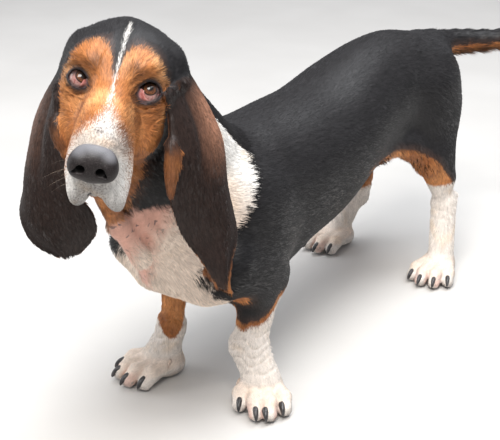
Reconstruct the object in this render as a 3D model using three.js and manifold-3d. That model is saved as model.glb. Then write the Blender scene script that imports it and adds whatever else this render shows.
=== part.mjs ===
// A life-size basset hound standing on all four feet, its head turned to its left.
// Millimetres. The hound faces -Y, its left side is +X, up is +Z and the floor is z = 0.
import * as THREE from "three";
import Module from "manifold-3d";

const wasm = await Module();
wasm.setup();

// Main sizes
const GAP = 0.3;
const HEAD_ORIGIN = [69, -247.5, 490.6];
const HEAD_YAW = 33.1;
const HEAD_PITCH = 3.9;
const HEAD_ROLL = 10.6;
const EYE_AT = [35.5, -3, -2];
const EYE_RADIUS = 11.5;
const PAW_TOP = 40;
const TAIL_START = 594;
const EAR_THICKNESS = 5.5;
const FORE_PAW_SIZE = 0.94;
const HIND_PAW_SIZE = 0.88;

// Grid steps in x, y and z for each piece, finer where the form is finer
const STEP_TORSO = [19, 32, 19];
const STEP_NECK = [14, 16, 15];
const STEP_HEAD = [9.4, 10, 9.4];
const STEP_LEG = [13, 14.5, 16.5];
const STEP_PAW = [8.8, 8.8, 8];
const STEP_TAIL = [11, 13.5, 11];
const STEP_NOSE = [6.6, 6.6, 6.6];
const STEP_JAW = [9, 11, 8];

// Colours of the coat and the bare parts
const BLACK = 0x1c1a1b;
const TAN = 0xa9612f;
const WHITE = 0xe9e3da;
const DARK_BROWN = 0x35251e;
const NOSE_GREY = 0x2b2a2d;
const AMBER = 0x5a3219;
const HORN = 0x3a332f;

// Sections of the trunk from the breast back: y, top, bottom, half width, egg shape
const SECTIONS = [
  [-78, 300, 168, 58, 0.05],
  [-40, 338, 138, 78, 0.1],
  [0, 352, 122, 86, 0.14],
  [40, 358, 118, 88, 0.16],
  [100, 356, 126, 89, 0.16],
  [157, 357, 142, 89, 0.15],
  [237, 361, 158, 87, 0.12],
  [302, 376, 183, 81, 0.08],
  [340, 384, 196, 76, 0.05],
  [400, 390, 214, 72, 0.02],
  [450, 388, 227, 72, 0],
  [500, 377, 238, 70, 0],
  [545, 366, 250, 60, 0],
  [575, 358, 262, 46, 0],
];

// Tail from root to tip: x, y, z, radius
const TAIL = [
  [0, 552, 332, 26],
  [8, 600, 336, 20],
  [32, 640, 335, 17.5],
  [72, 671, 337, 15],
  [114, 692, 350, 12],
  [148, 704, 374, 9],
  [166, 708, 402, 5.5],
];

// Joints of the legs, with the way each foot is turned
const FORE = {
  left: { elbow: [62, 26, 160], wrist: [57, 6, 76], ball: [77, 2, 26], heel: [0, 10, 6], yaw: 38, slim: 0.95 },
  right: {
    elbow: [-66, 16, 160], wrist: [-62, -4, 74], ball: [-78, -18, 26], heel: [12, 14, 6], yaw: -24, slim: 0.78,
  },
};
const HIND = {
  left: { hip: [46, 474, 282], knee: [68, 466, 204], hock: [76, 520, 112], ball: [85, 488, 28], yaw: 10 },
  right: { hip: [-46, 474, 282], knee: [-72, 462, 204], hock: [-84, 532, 110], ball: [-110, 500, 28], yaw: -16 },
};

// Edges of the hanging ears from root to tip
const EARS = {
  left: {
    front: [[92, -203, 489], [105, -209, 470], [114, -215, 439], [118, -223, 411],
      [118, -225, 368], [122, -211, 323], [137, -194, 289], [147, -180, 256]],
    back: [[62, -140, 496], [74, -130, 466], [90, -121, 431], [104, -118, 398],
      [112, -118, 349], [130, -124, 299], [143, -151, 276], [150, -167, 250]],
  },
  right: {
    front: [[18, -250, 500], [22, -265, 477], [26, -272, 445], [29, -279, 415],
      [34, -277, 378], [42, -265, 354], [40, -255, 322], [17, -257, 292]],
    back: [[-15, -197, 498], [-42, -207, 462], [-59, -218, 427], [-64, -227, 388],
      [-70, -240, 353], [-70, -255, 319], [-51, -260, 292], [-14, -260, 281]],
  },
};

// The way in which the left ear hangs clear of the neck
const LEFT_EAR_OUT = [0.53, -0.75, 0.39];

// Vectors and turns
const rad = THREE.MathUtils.degToRad;
const vec = (p) => new THREE.Vector3(...p);

function turned(yaw, pitch = 0, roll = 0) {
  const aboutZ = new THREE.Matrix4().makeRotationZ(rad(yaw));
  const aboutX = new THREE.Matrix4().makeRotationX(rad(pitch));
  const aboutY = new THREE.Matrix4().makeRotationY(rad(roll));
  return aboutZ.multiply(aboutX).multiply(aboutY);
}

function placing(matrix, at) {
  return new THREE.Matrix4().makeTranslation(...at).multiply(matrix);
}

const HEAD_PLACE = placing(turned(HEAD_YAW, HEAD_PITCH, HEAD_ROLL), HEAD_ORIGIN);
const inHead = (x, y, z) => new THREE.Vector3(x, y, z).applyMatrix4(HEAD_PLACE).toArray();

// A smooth curve through stations, Hermite cubic with weighted slopes
function curveThrough(xs, vs) {
  const n = xs.length;
  const slope = [];
  for (let i = 0; i < n - 1; i++) slope.push((vs[i + 1] - vs[i]) / (xs[i + 1] - xs[i]));
  const m = new Array(n);
  m[0] = slope[0];
  m[n - 1] = slope[n - 2];
  for (let i = 1; i < n - 1; i++) {
    const a = xs[i] - xs[i - 1];
    const b = xs[i + 1] - xs[i];
    m[i] = (slope[i] * a + slope[i - 1] * b) / (a + b);
  }
  return (x) => {
    const c = Math.min(Math.max(x, xs[0]), xs[n - 1]);
    let i = 0;
    while (i < n - 2 && c >= xs[i + 1]) i++;
    const h = xs[i + 1] - xs[i];
    const t = (c - xs[i]) / h;
    const s = 1 - t;
    return vs[i] * s * s * (1 + 2 * t) + vs[i + 1] * t * t * (3 - 2 * t)
      + h * (m[i] * t * s * s - m[i + 1] * t * t * s);
  };
}

// Rounded forms: each gives the distance from a point to its surface, negative inside
function egg(centre, radii, blend, yaw = 0, pitch = 0, roll = 0, place = null) {
  let m = placing(turned(yaw, pitch, roll), centre);
  if (place) m = place.clone().multiply(m);
  const inverse = m.clone().invert();
  const e = inverse.elements;
  const [a, b, c] = radii;
  return {
    blend,
    middle: vec([0, 0, 0]).applyMatrix4(m).toArray(),
    reach: Math.max(a, b, c),
    at(x, y, z) {
      const u = e[0] * x + e[4] * y + e[8] * z + e[12];
      const v = e[1] * x + e[5] * y + e[9] * z + e[13];
      const w = e[2] * x + e[6] * y + e[10] * z + e[14];
      const k0 = Math.hypot(u / a, v / b, w / c) + 1e-9;
      const k1 = Math.hypot(u / (a * a), v / (b * b), w / (c * c)) + 1e-9;
      return (k0 * (k0 - 1)) / k1;
    },
  };
}

function limb(from, to, r0, r1, blend, flat = null, place = null) {
  let a = vec(from);
  let b = vec(to);
  let w = flat ? vec(flat.along) : null;
  if (place) {
    a.applyMatrix4(place);
    b.applyMatrix4(place);
  }
  const axis = b.clone().sub(a);
  const length = axis.length();
  const u = axis.divideScalar(length);
  const squeeze = flat ? 1 / flat.by - 1 : 0;
  const scale = flat ? Math.sqrt(flat.by) : 1;
  if (w) w = w.sub(u.clone().multiplyScalar(w.dot(u))).normalize();
  const s = (r0 - r1) / length;
  const lean = s / Math.sqrt(Math.max(1 - s * s, 1e-6));
  return {
    blend,
    middle: a.clone().add(b).multiplyScalar(0.5).toArray(),
    reach: length / 2 + Math.max(r0, r1),
    at(x, y, z) {
      let dx = x - a.x;
      let dy = y - a.y;
      let dz = z - a.z;
      if (w) {
        const k = (dx * w.x + dy * w.y + dz * w.z) * squeeze;
        dx += w.x * k;
        dy += w.y * k;
        dz += w.z * k;
      }
      const t = dx * u.x + dy * u.y + dz * u.z;
      const r = Math.sqrt(Math.max(dx * dx + dy * dy + dz * dz - t * t, 0));
      const tt = Math.min(Math.max(t + r * lean, 0), length);
      return (Math.hypot(t - tt, r) - (r0 + ((r1 - r0) * tt) / length)) * scale;
    },
  };
}

function trunkForm() {
  const ys = SECTIONS.map((s) => s[0]);
  const [top, bottom, width, eggy] = [1, 2, 3, 4].map((c) => curveThrough(ys, SECTIONS.map((s) => s[c])));
  const first = ys[0];
  const last = ys[ys.length - 1];
  const frontCap = 40;
  const rearCap = 16;
  return {
    blend: 20,
    middle: [0, 250, 260],
    reach: 420,
    at(x, y, z) {
      const t = top(y);
      const b = bottom(y);
      const h = (t - b) / 2;
      const f = (z - (t + b) / 2) / h;
      const w = width(y) * (1 + eggy(y) * Math.min(Math.max(f, -1.3), 1.3));
      const cap = y < first ? frontCap : rearCap;
      const ex = (Math.max(0, first - y) + Math.max(0, y - last)) / cap;
      const q = Math.hypot(x / w, f, ex) + 1e-9;
      const g = Math.hypot(x / (w * w), f / h, ex / cap) + 1e-9;
      return (q * (q - 1)) / g;
    },
  };
}

function trunkForms() {
  const forms = [trunkForm()];
  for (const s of [1, -1]) {
    // Shoulder blade, upper arm, breast muscle and rump
    forms.push(egg([s * 62, 2, 238], [36, 66, 88], 26, 0, 22));
    forms.push(limb([s * 68, -60, 216], [s * 66, 14, 178], 36, 29, 24));
    forms.push(egg([s * 36, -54, 188], [36, 40, 34], 20));
    forms.push(egg([s * 44, 502, 270], [40, 72, 84], 26, 0, 10));
  }
  return forms;
}

const shifted = (p, x, y, z) => [p[0] + x, p[1] + y, p[2] + z];

function foreLegForms({ elbow, wrist, ball, heel, yaw, slim }) {
  const facing = vec([0, 1, 0]).applyMatrix4(turned(yaw)).toArray();
  return [
    limb(shifted(elbow, 0, 14, 8), shifted(elbow, 0, -14, 0), 22, 28, 20),
    limb(elbow, wrist, 29, 24 * slim, 20, { along: facing, by: 0.74 }),
    egg(shifted(wrist, -2, 0, 2), [26 * slim, 21 * slim, 19], 10, yaw),
    limb(wrist, shifted(ball, 0, 0, 8), 23.5 * slim, 25 * slim, 12, { along: facing, by: 0.8 }),
    limb(wrist, shifted(ball, ...heel), 20 * slim, 20 * slim, 12),
  ];
}

function hindLegForms({ hip, knee, hock, ball }) {
  const side = Math.sign(hip[0]);
  const flat = (by) => ({ along: [1, 0, 0], by });
  return [
    limb(hip, knee, 56, 33, 30, flat(0.68)),
    limb(shifted(hip, side * 4, 34, -30), shifted(hock, 0, -22, 50), 44, 24, 24, flat(0.72)),
    limb(shifted(knee, 0, 10, -6), shifted(hock, 0, -18, 10), 32, 19, 20, flat(0.72)),
    // The loose skin from the flank to the knee
    limb([side * 60, 345, 244], [side * 64, 405, 229], 11, 13, 24, flat(0.8)),
    limb([side * 64, 405, 229], shifted(knee, 0, -18, -4), 13, 15, 24, flat(0.8)),
    limb(shifted(hock, 0, 10, 4), shifted(hock, 0, -6, -30), 12, 14, 14),
    limb(shifted(hock, 0, -16, 0), shifted(ball, 0, 0, 4), 21, 20, 14),
  ];
}

// Four arched toes in front of a pad, toes towards -Y before the turn
const TOES = [[-28, -22, -16], [-11, -37, -5], [11, -37, 5], [28, -22, 16]];
const FORE_LEFT_TOES = [[-27, -10, -10], [-9, -35, 2], [9, -37, 2], [29, -24, 6]];
const TOE_HEIGHT = 21;

function pawPlace(centre, yaw, size) {
  return placing(turned(yaw), centre).scale(new THREE.Vector3(size, size, size));
}

function toeTip([x, y, splay], reach = 14, drop = -9) {
  const a = rad(splay);
  return [x + Math.sin(a) * reach, y - Math.cos(a) * reach, TOE_HEIGHT + drop];
}

function pawForms({ centre, yaw, size, toes }) {
  const place = placing(turned(yaw), centre);
  const k = (p) => p.map((v) => v * size);
  const forms = [
    egg(k([0, 8, 20]), k([31, 32, 21]), 12 * size, 0, 0, 0, place),
    egg(k([0, 22, 13]), k([20, 20, 14]), 10 * size, 0, 0, 0, place),
  ];
  for (const toe of toes) {
    const root = [toe[0] * 0.62, 6, 24];
    const knuckle = [toe[0], toe[1], TOE_HEIGHT];
    forms.push(limb(k(root), k(knuckle), 13 * size, 13 * size, 6 * size, null, place));
    forms.push(limb(k(knuckle), k(toeTip(toe)), 13 * size, 11 * size, 4 * size, null, place));
  }
  return forms;
}

const PAWS = {
  fore_paw_left: { centre: [77, 2, 0], yaw: 38, size: FORE_PAW_SIZE, toes: FORE_LEFT_TOES, dew: 1 },
  fore_paw_right: { centre: [-78, -18, 0], yaw: -24, size: FORE_PAW_SIZE, toes: TOES, dew: -1 },
  hind_paw_left: { centre: [85, 474, 0], yaw: 10, size: HIND_PAW_SIZE, toes: TOES, dew: 0 },
  hind_paw_right: { centre: [-110, 486, 0], yaw: -16, size: HIND_PAW_SIZE, toes: TOES, dew: 0 },
};

function tailForms() {
  const ts = TAIL.map((p, i) => i);
  const [x, y, z, r] = [0, 1, 2, 3].map((c) => curveThrough(ts, TAIL.map((p) => p[c])));
  const pieces = 12;
  const forms = [];
  for (let i = 0; i < pieces; i++) {
    const a = (i * (TAIL.length - 1)) / pieces;
    const b = ((i + 1) * (TAIL.length - 1)) / pieces;
    forms.push(limb([x(a), y(a), z(a)], [x(b), y(b), z(b)], r(a), r(b), i ? 8 : 26));
  }
  return forms;
}

function neckForms() {
  const flat = (by) => ({ along: [1, 0, 0], by });
  return [
    limb([0, 0, 300], inHead(0, 70, -6), 62, 47, 24, flat(0.95)),
    limb([0, -62, 238], inHead(0, 36, -44), 60, 42, 24, flat(0.85)),
    limb([2, -98, 238], inHead(0, 4, -74), 34, 20, 22, flat(0.62)),
    // The loose skin of the throat, from the chin to the chest
    limb(inHead(2, -44, -82), inHead(0, -22, -104), 13, 11, 10),
    limb(inHead(0, -22, -104), [35, -212, 313], 11, 12, 12),
    limb([35, -212, 313], [28, -168, 256], 12, 14, 14),
  ];
}

// Skull, brows, cheeks, hanging lips, bridge and muzzle
function headForms() {
  const part = (c, r, k, yaw = 0, roll = 0) => egg(c, r, k, yaw, 0, roll, HEAD_PLACE);
  const forms = [part([0, 46, 4], [53, 70, 41], 14), part([0, 96, 12], [20, 24, 22], 16)];
  for (const s of [1, -1]) {
    forms.push(part([s * 24, 8, 18], [25, 28, 20], 12));
    forms.push(part([s * 42, 22, -10], [14, 34, 22], 14));
    forms.push(part([s * 33, 24, -46], [22, 42, 38], 16));
    forms.push(part([s * 19, -30, -72], [13, 38, 32], 14, s * 10));
  }
  // The ears' bases, the upper lips, which hang lower on the left, and the lip between them
  forms.push(part([11, 48, 4], [51, 62, 39], 10));
  forms.push(part([52, 56, -2], [14, 26, 28], 14));
  forms.push(part([-46, 60, -2], [12, 26, 26], 14));
  forms.push(part([-14, -64, -70], [14, 40, 37], 12, -7, -3));
  forms.push(part([12, -64, -72], [15, 34, 39], 12, 7, -24));
  forms.push(part([4, -84, -67], [19, 18, 17], 10));
  forms.push(limb([0, 4, -6], [0, -86, -30], 28, 22, 18, null, HEAD_PLACE));
  forms.push(limb([0, 10, -36], [0, -82, -46], 33, 25, 14, null, HEAD_PLACE));
  for (const s of [1, -1]) {
    // The hollow that the eye sits in
    forms.push({ ...part([s * 36.5, -17, -3], [14, 9, 9], 7), cut: true });
  }
  return forms;
}

function jawForms() {
  return [limb([0, 4, -68], [0, -71, -84], 15, 12, 10, null, HEAD_PLACE)];
}

function noseForms() {
  return [
    egg([-1, -107, -42.5], [22.5, 16, 18.5], 5, 0, 0, 0, HEAD_PLACE),
    egg([-1, -101, -37], [19, 15, 13], 8, 0, 0, 0, HEAD_PLACE),
    egg([12.5, -111, -43], [11, 12, 13], 5, 20, 0, 0, HEAD_PLACE),
    egg([-14.5, -111, -43], [11, 12, 13], 5, -20, 0, 0, HEAD_PLACE),
  ];
}

function smoothMin(a, b, k) {
  const h = Math.max(k - Math.abs(a - b), 0) / k;
  return Math.min(a, b) - h * h * k * 0.25;
}

// One surface over many forms, each melting into those before it
function surfaceOf(forms) {
  return (x, y, z) => {
    let d = 80;
    for (const f of forms) {
      const [cx, cy, cz] = f.middle;
      if (Math.hypot(x - cx, y - cy, z - cz) - f.reach > 40) continue;
      if (f.cut) d = -smoothMin(-d, f.at(x, y, z), f.blend);
      else d = smoothMin(d, f.at(x, y, z), f.blend);
    }
    return d;
  };
}

// Manifold solids from geometry and back
function solidFrom(positions, indices) {
  const mesh = new wasm.Mesh({
    numProp: 3,
    vertProperties: new Float32Array(positions),
    triVerts: new Uint32Array(indices),
  });
  mesh.merge();
  return new wasm.Manifold(mesh);
}

function solidOf(geometry, matrix = null) {
  const g = geometry.clone();
  if (matrix) g.applyMatrix4(matrix);
  const p = g.attributes.position;
  const keys = new Map();
  const positions = [];
  const map = [];
  for (let i = 0; i < p.count; i++) {
    const key = [p.getX(i), p.getY(i), p.getZ(i)].map((v) => Math.round(v * 1e4)).join(",");
    if (!keys.has(key)) {
      keys.set(key, positions.length / 3);
      positions.push(p.getX(i), p.getY(i), p.getZ(i));
    }
    map.push(keys.get(key));
  }
  const source = g.index ? Array.from(g.index.array) : map.map((_, i) => i);
  const indices = [];
  for (let i = 0; i < source.length; i += 3) {
    const [a, b, c] = [map[source[i]], map[source[i + 1]], map[source[i + 2]]];
    if (a !== b && b !== c && a !== c) indices.push(a, b, c);
  }
  return solidFrom(positions, indices);
}

function geometryOf(solid) {
  const mesh = solid.getMesh();
  const g = new THREE.BufferGeometry();
  g.setAttribute("position", new THREE.BufferAttribute(new Float32Array(mesh.vertProperties), 3));
  g.setIndex(new THREE.BufferAttribute(new Uint32Array(mesh.triVerts), 1));
  g.computeVertexNormals();
  return g;
}

// The same solid with every corner moved out a little, to cut its neighbour with a gap
function grown(solid, by = 0.6) {
  const g = geometryOf(solid);
  const p = g.attributes.position;
  const n = g.attributes.normal;
  const positions = [];
  for (let i = 0; i < p.count; i++) {
    positions.push(p.getX(i) + n.getX(i) * by, p.getY(i) + n.getY(i) * by, p.getZ(i) + n.getZ(i) * by);
  }
  return solidFrom(positions, Array.from(g.index.array));
}

// Joins corners that a cut left closer together than a hair, so that every face has some area
function tidied(solid, least = 0.03) {
  const mesh = solid.getMesh();
  const p = mesh.vertProperties;
  const t = mesh.triVerts;
  const owner = Array.from({ length: p.length / 3 }, (_, i) => i);
  const find = (i) => {
    while (owner[i] !== i) i = owner[i];
    return i;
  };
  const apart = (a, b) => Math.hypot(p[3 * a] - p[3 * b], p[3 * a + 1] - p[3 * b + 1], p[3 * a + 2] - p[3 * b + 2]);
  for (let i = 0; i < t.length; i += 3) {
    for (let e = 0; e < 3; e++) {
      const [a, b] = [t[i + e], t[i + ((e + 1) % 3)]];
      if (apart(a, b) < least) owner[find(a)] = find(b);
    }
  }
  const faces = new Map();
  for (let i = 0; i < t.length; i += 3) {
    const f = [find(t[i]), find(t[i + 1]), find(t[i + 2])];
    if (f[0] === f[1] || f[1] === f[2] || f[0] === f[2]) continue;
    const key = [...f].sort((a, b) => a - b).join();
    if (faces.has(key)) faces.delete(key);
    else faces.set(key, f);
  }
  return solidFrom(Array.from(p), [...faces.values()].flat());
}

function largest(solid) {
  const pieces = solid.decompose();
  let best = pieces[0];
  for (const p of pieces) if (p.volume() > best.volume()) best = p;
  return best;
}

// The closed surface where a distance function equals level, on a grid of given steps
function polygonised(distance, low, high, step, level = 0) {
  const n = [0, 1, 2].map((d) => Math.ceil((high[d] - low[d]) / step[d]) + 1);
  const at = (i, j, k) => (i * n[1] + j) * n[2] + k;
  const place = (i, j, k) => [low[0] + i * step[0], low[1] + j * step[1], low[2] + k * step[2]];
  const value = new Float64Array(n[0] * n[1] * n[2]);
  for (let i = 0; i < n[0]; i++) {
    for (let j = 0; j < n[1]; j++) {
      for (let k = 0; k < n[2]; k++) {
        const edge = i === 0 || j === 0 || k === 0 || i === n[0] - 1 || j === n[1] - 1 || k === n[2] - 1;
        let v = distance(...place(i, j, k)) - level;
        if (edge) v = Math.max(v, 1);
        if (Math.abs(v) < 1e-4) v = 1e-4;
        value[at(i, j, k)] = v;
      }
    }
  }
  fillChecks(value, n, at);
  const corners = [];
  for (let c = 0; c < 8; c++) corners.push([c & 1, (c >> 1) & 1, (c >> 2) & 1]);
  const edges = [];
  for (let a = 0; a < 8; a++) {
    for (const bit of [1, 2, 4]) if (!(a & bit)) edges.push([a, a | bit]);
  }
  const positions = [];
  const cell = new Map();
  for (let i = 0; i < n[0] - 1; i++) {
    for (let j = 0; j < n[1] - 1; j++) {
      for (let k = 0; k < n[2] - 1; k++) {
        const v = corners.map(([a, b, c]) => value[at(i + a, j + b, k + c)]);
        let count = 0;
        const sum = [0, 0, 0];
        for (const [a, b] of edges) {
          if (v[a] < 0 === v[b] < 0) continue;
          const t = v[a] / (v[a] - v[b]);
          const pa = place(i + corners[a][0], j + corners[a][1], k + corners[a][2]);
          const pb = place(i + corners[b][0], j + corners[b][1], k + corners[b][2]);
          for (let d = 0; d < 3; d++) sum[d] += pa[d] + (pb[d] - pa[d]) * t;
          count++;
        }
        if (!count) continue;
        cell.set(at(i, j, k), positions.length / 3);
        const inner = i > 0 && j > 0 && k > 0 && i < n[0] - 2 && j < n[1] - 2 && k < n[2] - 2;
        const p = sum.map((s) => s / count);
        positions.push(...(inner ? settled(distance, p, level, step) : p));
      }
    }
  }
  const indices = [];
  const quad = (a, b, c, d) => {
    const far = (p, q) => {
      let s = 0;
      for (let e = 0; e < 3; e++) s += (positions[3 * p + e] - positions[3 * q + e]) ** 2;
      return s;
    };
    if (far(a, c) <= far(b, d)) indices.push(a, b, c, a, c, d);
    else indices.push(b, c, d, b, d, a);
  };
  for (let i = 0; i < n[0]; i++) {
    for (let j = 0; j < n[1]; j++) {
      for (let k = 0; k < n[2]; k++) {
        const here = value[at(i, j, k)] < 0;
        const g = (a, b, c) => cell.get(at(i + a, j + b, k + c));
        const side = (there, p, q, r, s) => {
          if (here === there) return;
          if (here) quad(p, q, r, s);
          else quad(s, r, q, p);
        };
        if (i < n[0] - 1 && j && k) side(value[at(i + 1, j, k)] < 0, g(0, -1, -1), g(0, 0, -1), g(0, 0, 0), g(0, -1, 0));
        if (j < n[1] - 1 && i && k) side(value[at(i, j + 1, k)] < 0, g(-1, 0, -1), g(-1, 0, 0), g(0, 0, 0), g(0, 0, -1));
        if (k < n[2] - 1 && i && j) side(value[at(i, j, k + 1)] < 0, g(-1, -1, 0), g(0, -1, 0), g(0, 0, 0), g(-1, 0, 0));
      }
    }
  }
  return solidFrom(positions, indices);
}

// Fills a corner wherever inside and outside meet crosswise on a face of the grid
function fillChecks(value, n, at) {
  const faces = [[1, 0, 0, 0, 1, 0], [0, 1, 0, 0, 0, 1], [1, 0, 0, 0, 0, 1]];
  let changed = true;
  for (let turn = 0; turn < 20 && changed; turn++) {
    changed = false;
    for (let i = 1; i < n[0] - 2; i++) {
      for (let j = 1; j < n[1] - 2; j++) {
        for (let k = 1; k < n[2] - 2; k++) {
          for (const [a, b, c, d, e, f] of faces) {
            const q = [at(i, j, k), at(i + a, j + b, k + c), at(i + a + d, j + b + e, k + c + f), at(i + d, j + e, k + f)];
            const [p0, p1, p2, p3] = q.map((m) => value[m] < 0);
            if (p0 !== p2 || p1 !== p3 || p0 === p1) continue;
            const outside = p0 ? [q[1], q[3]] : [q[0], q[2]];
            const nearer = value[outside[0]] < value[outside[1]] ? outside[0] : outside[1];
            value[nearer] = -1e-3;
            changed = true;
          }
        }
      }
    }
  }
}

// Moves a point onto the surface, never further than part of a grid step
function settled(distance, p, level, step) {
  const q = [...p];
  const e = 0.5;
  for (let turn = 0; turn < 3; turn++) {
    const d = distance(...q) - level;
    const g = [0, 1, 2].map((c) => {
      const a = [...q];
      const b = [...q];
      a[c] += e;
      b[c] -= e;
      return (distance(...a) - distance(...b)) / (2 * e);
    });
    const gg = g[0] * g[0] + g[1] * g[1] + g[2] * g[2];
    if (gg < 0.05) break;
    for (let c = 0; c < 3; c++) q[c] -= (d * g[c]) / gg;
  }
  for (let c = 0; c < 3; c++) {
    const most = step[c] * 0.45;
    q[c] = Math.min(Math.max(q[c], p[c] - most), p[c] + most);
  }
  return q;
}

// A large block whose one face lies on the plane, on the side the normal points to
function halfSpace(point, normal, back = 0) {
  const size = 2400;
  const block = new THREE.BoxGeometry(size, size, size);
  block.translate(0, 0, size / 2 + back);
  const q = new THREE.Quaternion().setFromUnitVectors(vec([0, 0, 1]), vec(normal).normalize());
  const m = new THREE.Matrix4().compose(vec(point), q, vec([1, 1, 1]));
  return solidOf(block, m);
}

function boxed(low, high) {
  const g = new THREE.BoxGeometry(high[0] - low[0], high[1] - low[1], high[2] - low[2]);
  g.translate((high[0] + low[0]) / 2, (high[1] + low[1]) / 2, (high[2] + low[2]) / 2);
  return solidOf(g);
}

// The whole animal but for ears, jaw and nose
const bodyForms = [
  ...trunkForms(),
  ...Object.values(FORE).flatMap(foreLegForms),
  ...Object.values(HIND).flatMap(hindLegForms),
  ...Object.values(PAWS).flatMap(pawForms),
  ...tailForms(),
  ...neckForms(),
  ...headForms(),
];
const body = surfaceOf(bodyForms);

// Planes that part the pieces
const HEAD_CUT = { point: inHead(0, 75, -45), normal: [0, -0.6, 0.8] };
HEAD_CUT.normal = vec(HEAD_CUT.normal).transformDirection(HEAD_PLACE).toArray();
const NECK_CUT = { point: [0, -40, 300], normal: [0, -0.7, 0.71] };
const TAIL_CUT = { point: [0, TAIL_START, 0], normal: [0, 1, 0] };
const foreCut = (s) => [{ point: [s * 32, 0, 125], normal: [s * 0.59, 0, -0.81] }];
const hindCut = (s) => [
  { point: [s * 20, 0, 228], normal: [s * 0.674, 0, -0.739] },
  { point: [0, 395, 215], normal: [0, 0.85, -0.53] },
];

// The part of space beyond all the planes, grown or shrunk by half a gap
function beyond(cuts, back) {
  return cuts.map((c) => halfSpace(c.point, c.normal, back)).reduce((a, b) => a.intersect(b));
}

const group = new THREE.Group();

function put(name, solid, colour, roughness = 0.85) {
  const material = new THREE.MeshStandardMaterial({ color: colour, roughness, metalness: 0 });
  const mesh = new THREE.Mesh(geometryOf(tidied(solid)), material);
  mesh.name = name;
  group.add(mesh);
}

const behind = (cut) => ({ point: cut.point, normal: cut.normal.map((v) => -v) });
const half = GAP / 2 + 0.05;

// Trunk
const around = {};
let torso = polygonised(body, [-130, -170, 60], [130, 640, 460], STEP_TORSO);
torso = torso.intersect(beyond([behind(NECK_CUT)], half));
torso = torso.intersect(beyond([behind(TAIL_CUT)], half));
for (const s of [1, -1]) {
  torso = torso.subtract(beyond(foreCut(s), -half).intersect(boxed([-300, -200, -50], [300, 250, 400])));
  torso = torso.subtract(beyond(hindCut(s), -half));
}
put("torso", largest(torso), BLACK);
around.torso = grown(largest(torso));

// Tail
let tail = polygonised(body, [-40, 575, 280], [200, 730, 430], STEP_TAIL);
tail = tail.intersect(beyond([TAIL_CUT], half));
put("tail", largest(tail), BLACK);

// Neck
let neck = polygonised(body, [-110, -290, 170], [150, 60, 560], STEP_NECK);
neck = neck.intersect(beyond([NECK_CUT], half)).intersect(beyond([behind(HEAD_CUT)], half));
put("neck", largest(neck), BLACK);
around.neck = grown(largest(neck));

// Legs
for (const s of [1, -1]) {
  const side = s > 0 ? "left" : "right";
  const x = s > 0 ? [10, 150] : [-150, -10];
  let fore = polygonised(body, [x[0], -90, 30], [x[1], 110, 210], STEP_LEG);
  fore = fore.intersect(beyond(foreCut(s), half)).intersect(boxed([-200, -95, PAW_TOP + half], [200, 120, 400]));
  put("fore_leg_" + side, largest(fore), s > 0 ? WHITE : TAN);
  const hx = s > 0 ? [4, 160] : [-160, -4];
  let hind = polygonised(body, [hx[0], 370, 30], [hx[1], 630, 370], STEP_LEG);
  hind = hind.intersect(beyond(hindCut(s), half)).intersect(boxed([-200, 360, PAW_TOP + half], [200, 640, 400]));
  put("hind_leg_" + side, largest(hind), BLACK);
}

// Claws curve forwards and down from each toe tip
function clawSolid(place, root, splay, length) {
  const a = rad(splay);
  const ahead = vec([Math.sin(a), -Math.cos(a), 0]);
  const start = vec(root);
  const curve = new THREE.QuadraticBezierCurve3(
    start.clone(),
    start.clone().addScaledVector(ahead, length * 0.6).add(vec([0, 0, 1])),
    start.clone().addScaledVector(ahead, length * 0.95).add(vec([0, 0, -length * 0.42])),
  );
  const rings = 3;
  const sides = 6;
  const across = vec([Math.cos(a), Math.sin(a), 0]);
  const positions = [];
  for (let i = 0; i < rings; i++) {
    const t = i / rings;
    const p = curve.getPoint(t);
    const tangent = curve.getTangent(t);
    const upward = across.clone().cross(tangent).normalize();
    const r = 5.6 * Math.pow(1 - t, 0.6) + 0.3;
    for (let j = 0; j < sides; j++) {
      const b = (2 * Math.PI * j) / sides;
      const v = p.clone().addScaledVector(across, Math.cos(b) * r * 0.78).addScaledVector(upward, Math.sin(b) * r);
      positions.push(...v.toArray());
    }
  }
  const tip = curve.getPoint(1);
  positions.push(...tip.toArray(), ...start.toArray());
  const end = rings * sides;
  const indices = [];
  for (let j = 0; j < sides; j++) {
    const n = (j + 1) % sides;
    for (let i = 0; i < rings - 1; i++) {
      const [p, q, r, s] = [i * sides + j, i * sides + n, (i + 1) * sides + n, (i + 1) * sides + j];
      indices.push(p, s, r, p, r, q);
    }
    indices.push((rings - 1) * sides + j, end, (rings - 1) * sides + n);
    indices.push(end + 1, j, n);
  }
  const g = new THREE.BufferGeometry();
  g.setAttribute("position", new THREE.BufferAttribute(new Float32Array(positions), 3));
  g.setIndex(indices);
  const solid = solidOf(g, place);
  return solid.volume() < 0 ? solidOf(flipped(g), place) : solid;
}

function flipped(g) {
  const f = g.clone();
  const index = Array.from(g.index.array);
  for (let i = 0; i < index.length; i += 3) [index[i + 1], index[i + 2]] = [index[i + 2], index[i + 1]];
  f.setIndex(index);
  return f;
}

// Paws with their claws
for (const [name, paw] of Object.entries(PAWS)) {
  const [cx, cy] = paw.centre;
  const low = [cx - 72, cy - 72, -20];
  const high = [cx + 72, cy + 72, 62];
  const floor = boxed([-400, -400, 0], [400, 900, PAW_TOP - half]);
  const solid = largest(polygonised(body, low, high, STEP_PAW).intersect(floor));
  const around = grown(solid);
  put(name, solid, WHITE);
  const place = pawPlace(paw.centre, paw.yaw, paw.size);
  const roots = paw.toes.map((toe) => [toeTip(toe, 15, -3), toe[2]]);
  // The dew claw sits on the inner side, above the toes
  if (paw.dew) roots.push([[paw.dew * -27, 8, 32], paw.dew * -40]);
  roots.forEach(([root, splay], i) => {
    const claw = clawSolid(place, root, splay, 25).subtract(around).intersect(boxed([-400, -400, 0.6], [400, 900, 60]));
    put(name.replace("paw", "claw") + "_" + (i + 1), largest(claw), HORN, 0.45);
  });
}

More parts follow.
